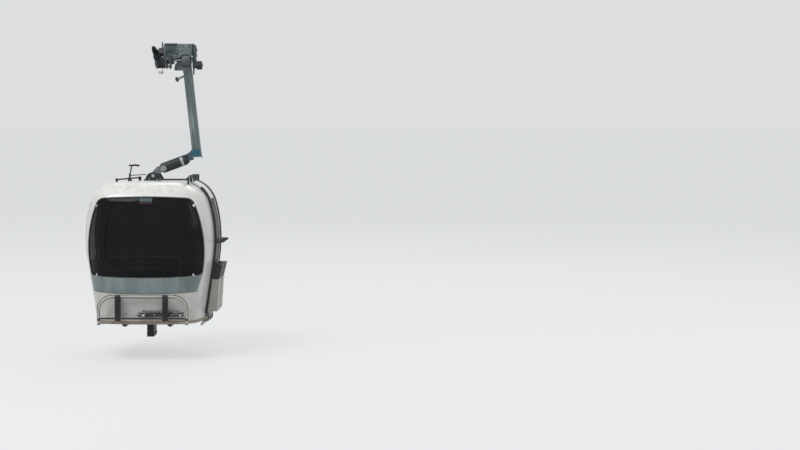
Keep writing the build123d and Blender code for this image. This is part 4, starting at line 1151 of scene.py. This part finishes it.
def door_details():
    """Edge rubber, handles and fasteners of the sliding leaves and of the boxes and combs on them."""
    for end, side in ENDS:
        body = "door_" + end
        leaf = Skin("door_leaf_" + end)
        edge = Piece("door_outer_edge_" + end, body, "rubber", "black_rubber")
        heights = spread(-1.800, -3.553, 44)
        rays = [[((FAR, -side * (0.3495 - 0.0075 * c), z), (-1.0, 0.0, 0.0)) for c in range(7)]
                for z in heights]
        sheet_on(edge, leaf, rays, 0.0002, 0.0030)
        form = bmesh.new()
        rows = []
        for z in heights:
            spot, normal = leaf.touch((FAR, -side * 0.3480, z), (-1.0, 0.0, 0.0))
            across = Vector((normal.x, 0.0, normal.z)).normalized()
            corners = ((0.0030, 0.3500), (0.0030, 0.3545), (-0.0205, 0.3545), (-0.0205, 0.3500))
            rows.append([form.verts.new(Vector((spot.x, -side * y, spot.z)) + across * d)
                         for d, y in corners])
        for first, second in zip(rows, rows[1:]):
            for k in range(4):
                m = (k + 1) % 4
                form.faces.new((first[k], second[k], second[m], first[m]))
        form.faces.new(rows[0])
        form.faces.new(rows[-1][::-1])
        edge.take(form)
        edge.done()

        handle = Piece("door_handle_" + end, body, "black", "black_plastic")
        spot, _ = leaf.touch((FAR, -side * 0.052, -3.060), (-1.0, 0.0, 0.0))
        handle.tube([spot + Vector((out, 0, rise)) for out, rise in
                     ((-0.004, 0), (0.026, 0.008), (0.032, -0.060), (0.026, -0.128), (-0.004, -0.120))],
                    0.0085, 12, 6)
        handle.done()

        fast = Piece("door_bolts_" + end, body, "steel", "bright_steel")
        box_skin = Skin("ski_box_" + end)
        for by in (0.060, 0.315):
            for z in (-3.110, -3.300, -3.490):
                bolt_on(fast, box_skin, (FAR, -side * by, z), (-1, 0, 0), 0.014)
        for x in (0.760, 0.830):
            for z in (-3.115, -3.490):
                bolt_on(fast, box_skin, (x, -side * FAR, z), (0, side, 0), 0.012)
        comb = Skin("ski_comb_" + end)
        for by in (0.060, 0.187, 0.315):
            bolt_on(fast, comb, (0.862, -side * by, -2.0), (0, 0, -1), 0.010)
        for z in (-1.840, -2.020):
            for by in (0.060, 0.290):
                bolt_on(fast, leaf, (FAR, -side * by, z), (-1, 0, 0), 0.012)
        fast.done()

        lip = Piece("ski_box_rim_" + end, body, "pale_steel", "ski_box_grey")
        for x, z in ((0.8795, -3.082), (0.850, -3.522)):
            lip.tube([(x, -side * 0.0425, z), (x, -side * 0.3325, z)], 0.0035, 8, 1)
        lip.done()


def roof_and_floor():
    """Seam beads, rivets, underfloor fasteners and the floor pan's trim."""
    roof = Skin("roof_shell", "front_shell", "rear_shell", "left_side")
    seams = Piece("seam_beads", "cabin", "rubber", "black_rubber")
    for end, side in ENDS:
        shell = Skin(end + "_shell", "left_side", "roof_shell")
        origins = [(-FAR, -side * 0.4495, z) for z in spread(-1.800, -3.560, 59)]
        seams.tube(shell.trace(origins, (1, 0, 0), 0.0004), 0.0028, 6, 1)
    seams.done()
    rivets = Piece("shell_rivets", "cabin", "steel", "bright_steel")
    for _, side in ENDS:
        met = [roof.touch((-FAR, -side * 0.470, z), (1, 0, 0)) for z in spread(-1.900, -3.460, 8)]
        met += [roof.touch((x, -side * 0.560, 0.0), (0, 0, -1)) for x in spread(-0.48, 0.45, 6)]
        for spot, normal in met:
            if spot is not None:
                rivets.lathe(SHELL_RIVET, spot, normal, 12)
    rivets.done()

    under = Skin("floor_pan", "floor_frame", "guide_block")
    floor = Piece("floor_bolts", "cabin", "dark_steel", "black_steel")
    for x in (-0.380, 0.240):
        for y in (-0.640, -0.320, 0.320, 0.640):
            bolt_on(floor, under, (x, y, -5.0), (0, 0, 1), 0.022)
    for y in (-0.110, 0.0, 0.110):
        for z in (-3.680, -3.860):
            for x, out in ((-2.140, 1), (0.100, -1)):
                bolt_on(floor, under, (x, y, z), (out, 0, 0), 0.018)
    floor.done()
    trim = Piece("pan_trim", "cabin", "pan_edge", "floor_beige")
    pan = Skin("floor_pan")
    for side in (-1, 1):
        origins = [(x, FAR * side, -3.612) for x in spread(-0.838, 0.700, 49)]
        trim.tube(pan.trace(origins, (0, -side, 0), 0.0005), 0.0045, 8, 1)
    trim.done()


def bench_front_edge(bench, x):
    """The bench's edge towards the shell at a place along it, found by feeling down on it."""
    y, last, step = -0.860, -0.600, 0.004
    while y < last:
        spot, _ = bench.touch((x, y, -2.9), (0.0, 0.0, -1.0))
        if spot is not None and spot.z > BENCH_TOP - 0.0105:
            break
        y += step
    return y + 0.010


def seats():
    """Padded seat cushions with sewn channels and piping over both benches."""
    bench = Skin("bench_front")
    columns, rows = 28, 22
    for end, side in ENDS:
        cushion = Piece("seat_cushions_" + end, "cabin", "seat", "bench_grey", mirrored(side))
        piping = Piece("seat_piping_" + end, "cabin", "black", "bench_grey", mirrored(side))
        pitch, gap = 0.4193, 0.006
        for k in range(3):
            left = -0.694 + pitch * k + gap
            right = left + pitch - 2 * gap
            form = bmesh.new()
            near = [bench_front_edge(bench, x) for x in spread(left, right, columns)]
            grid = []
            for r in range(rows + 1):
                v = r / rows
                line = []
                for c in range(columns + 1):
                    u = c / columns
                    rim = min(1.0, 5.2 * min(u, 1 - u, v, 1 - v) + 0.02)
                    crown = (0.030 * math.sqrt(max(0.0, 1 - (1 - rim) ** 2))
                             + 0.010 * math.sin(math.pi * u) * math.sin(math.pi * v))
                    channel = 0.005 * sum(math.exp(-((v - w) / 0.020) ** 2) for w in (0.27, 0.50, 0.73))
                    pull = 0.006 * math.sin(math.pi * u) * (1 - v)
                    y = near[c] + pull + (-0.462 - near[c] - pull) * v
                    x = left + (right - left) * u
                    line.append(form.verts.new((x, y, BENCH_TOP + crown - channel * rim)))
                grid.append(line)
            for r in range(rows):
                for c in range(columns):
                    form.faces.new((grid[r][c], grid[r][c + 1], grid[r + 1][c + 1], grid[r + 1][c]))
            around = (grid[0] + [line[-1] for line in grid[1:]] + grid[-1][-2::-1]
                      + [line[0] for line in grid[-2:0:-1]])
            form.faces.new(around[::-1])
            cushion.take(form)
            if k:
                x = left - gap
                edge = bench_front_edge(bench, x) + 0.004
                piping.tube([(x, edge, -3.094), (x, -0.650, -3.090), (x, -0.470, -3.094)], 0.0045, 8, 4)
        cushion.done()
        piping.done()


aim_camera()
build_studio()
dress_nodes()
cabin_ends()
bumpers()
grip_details()
rollers()
hanger_details()
door_details()
roof_and_floor()
seats()
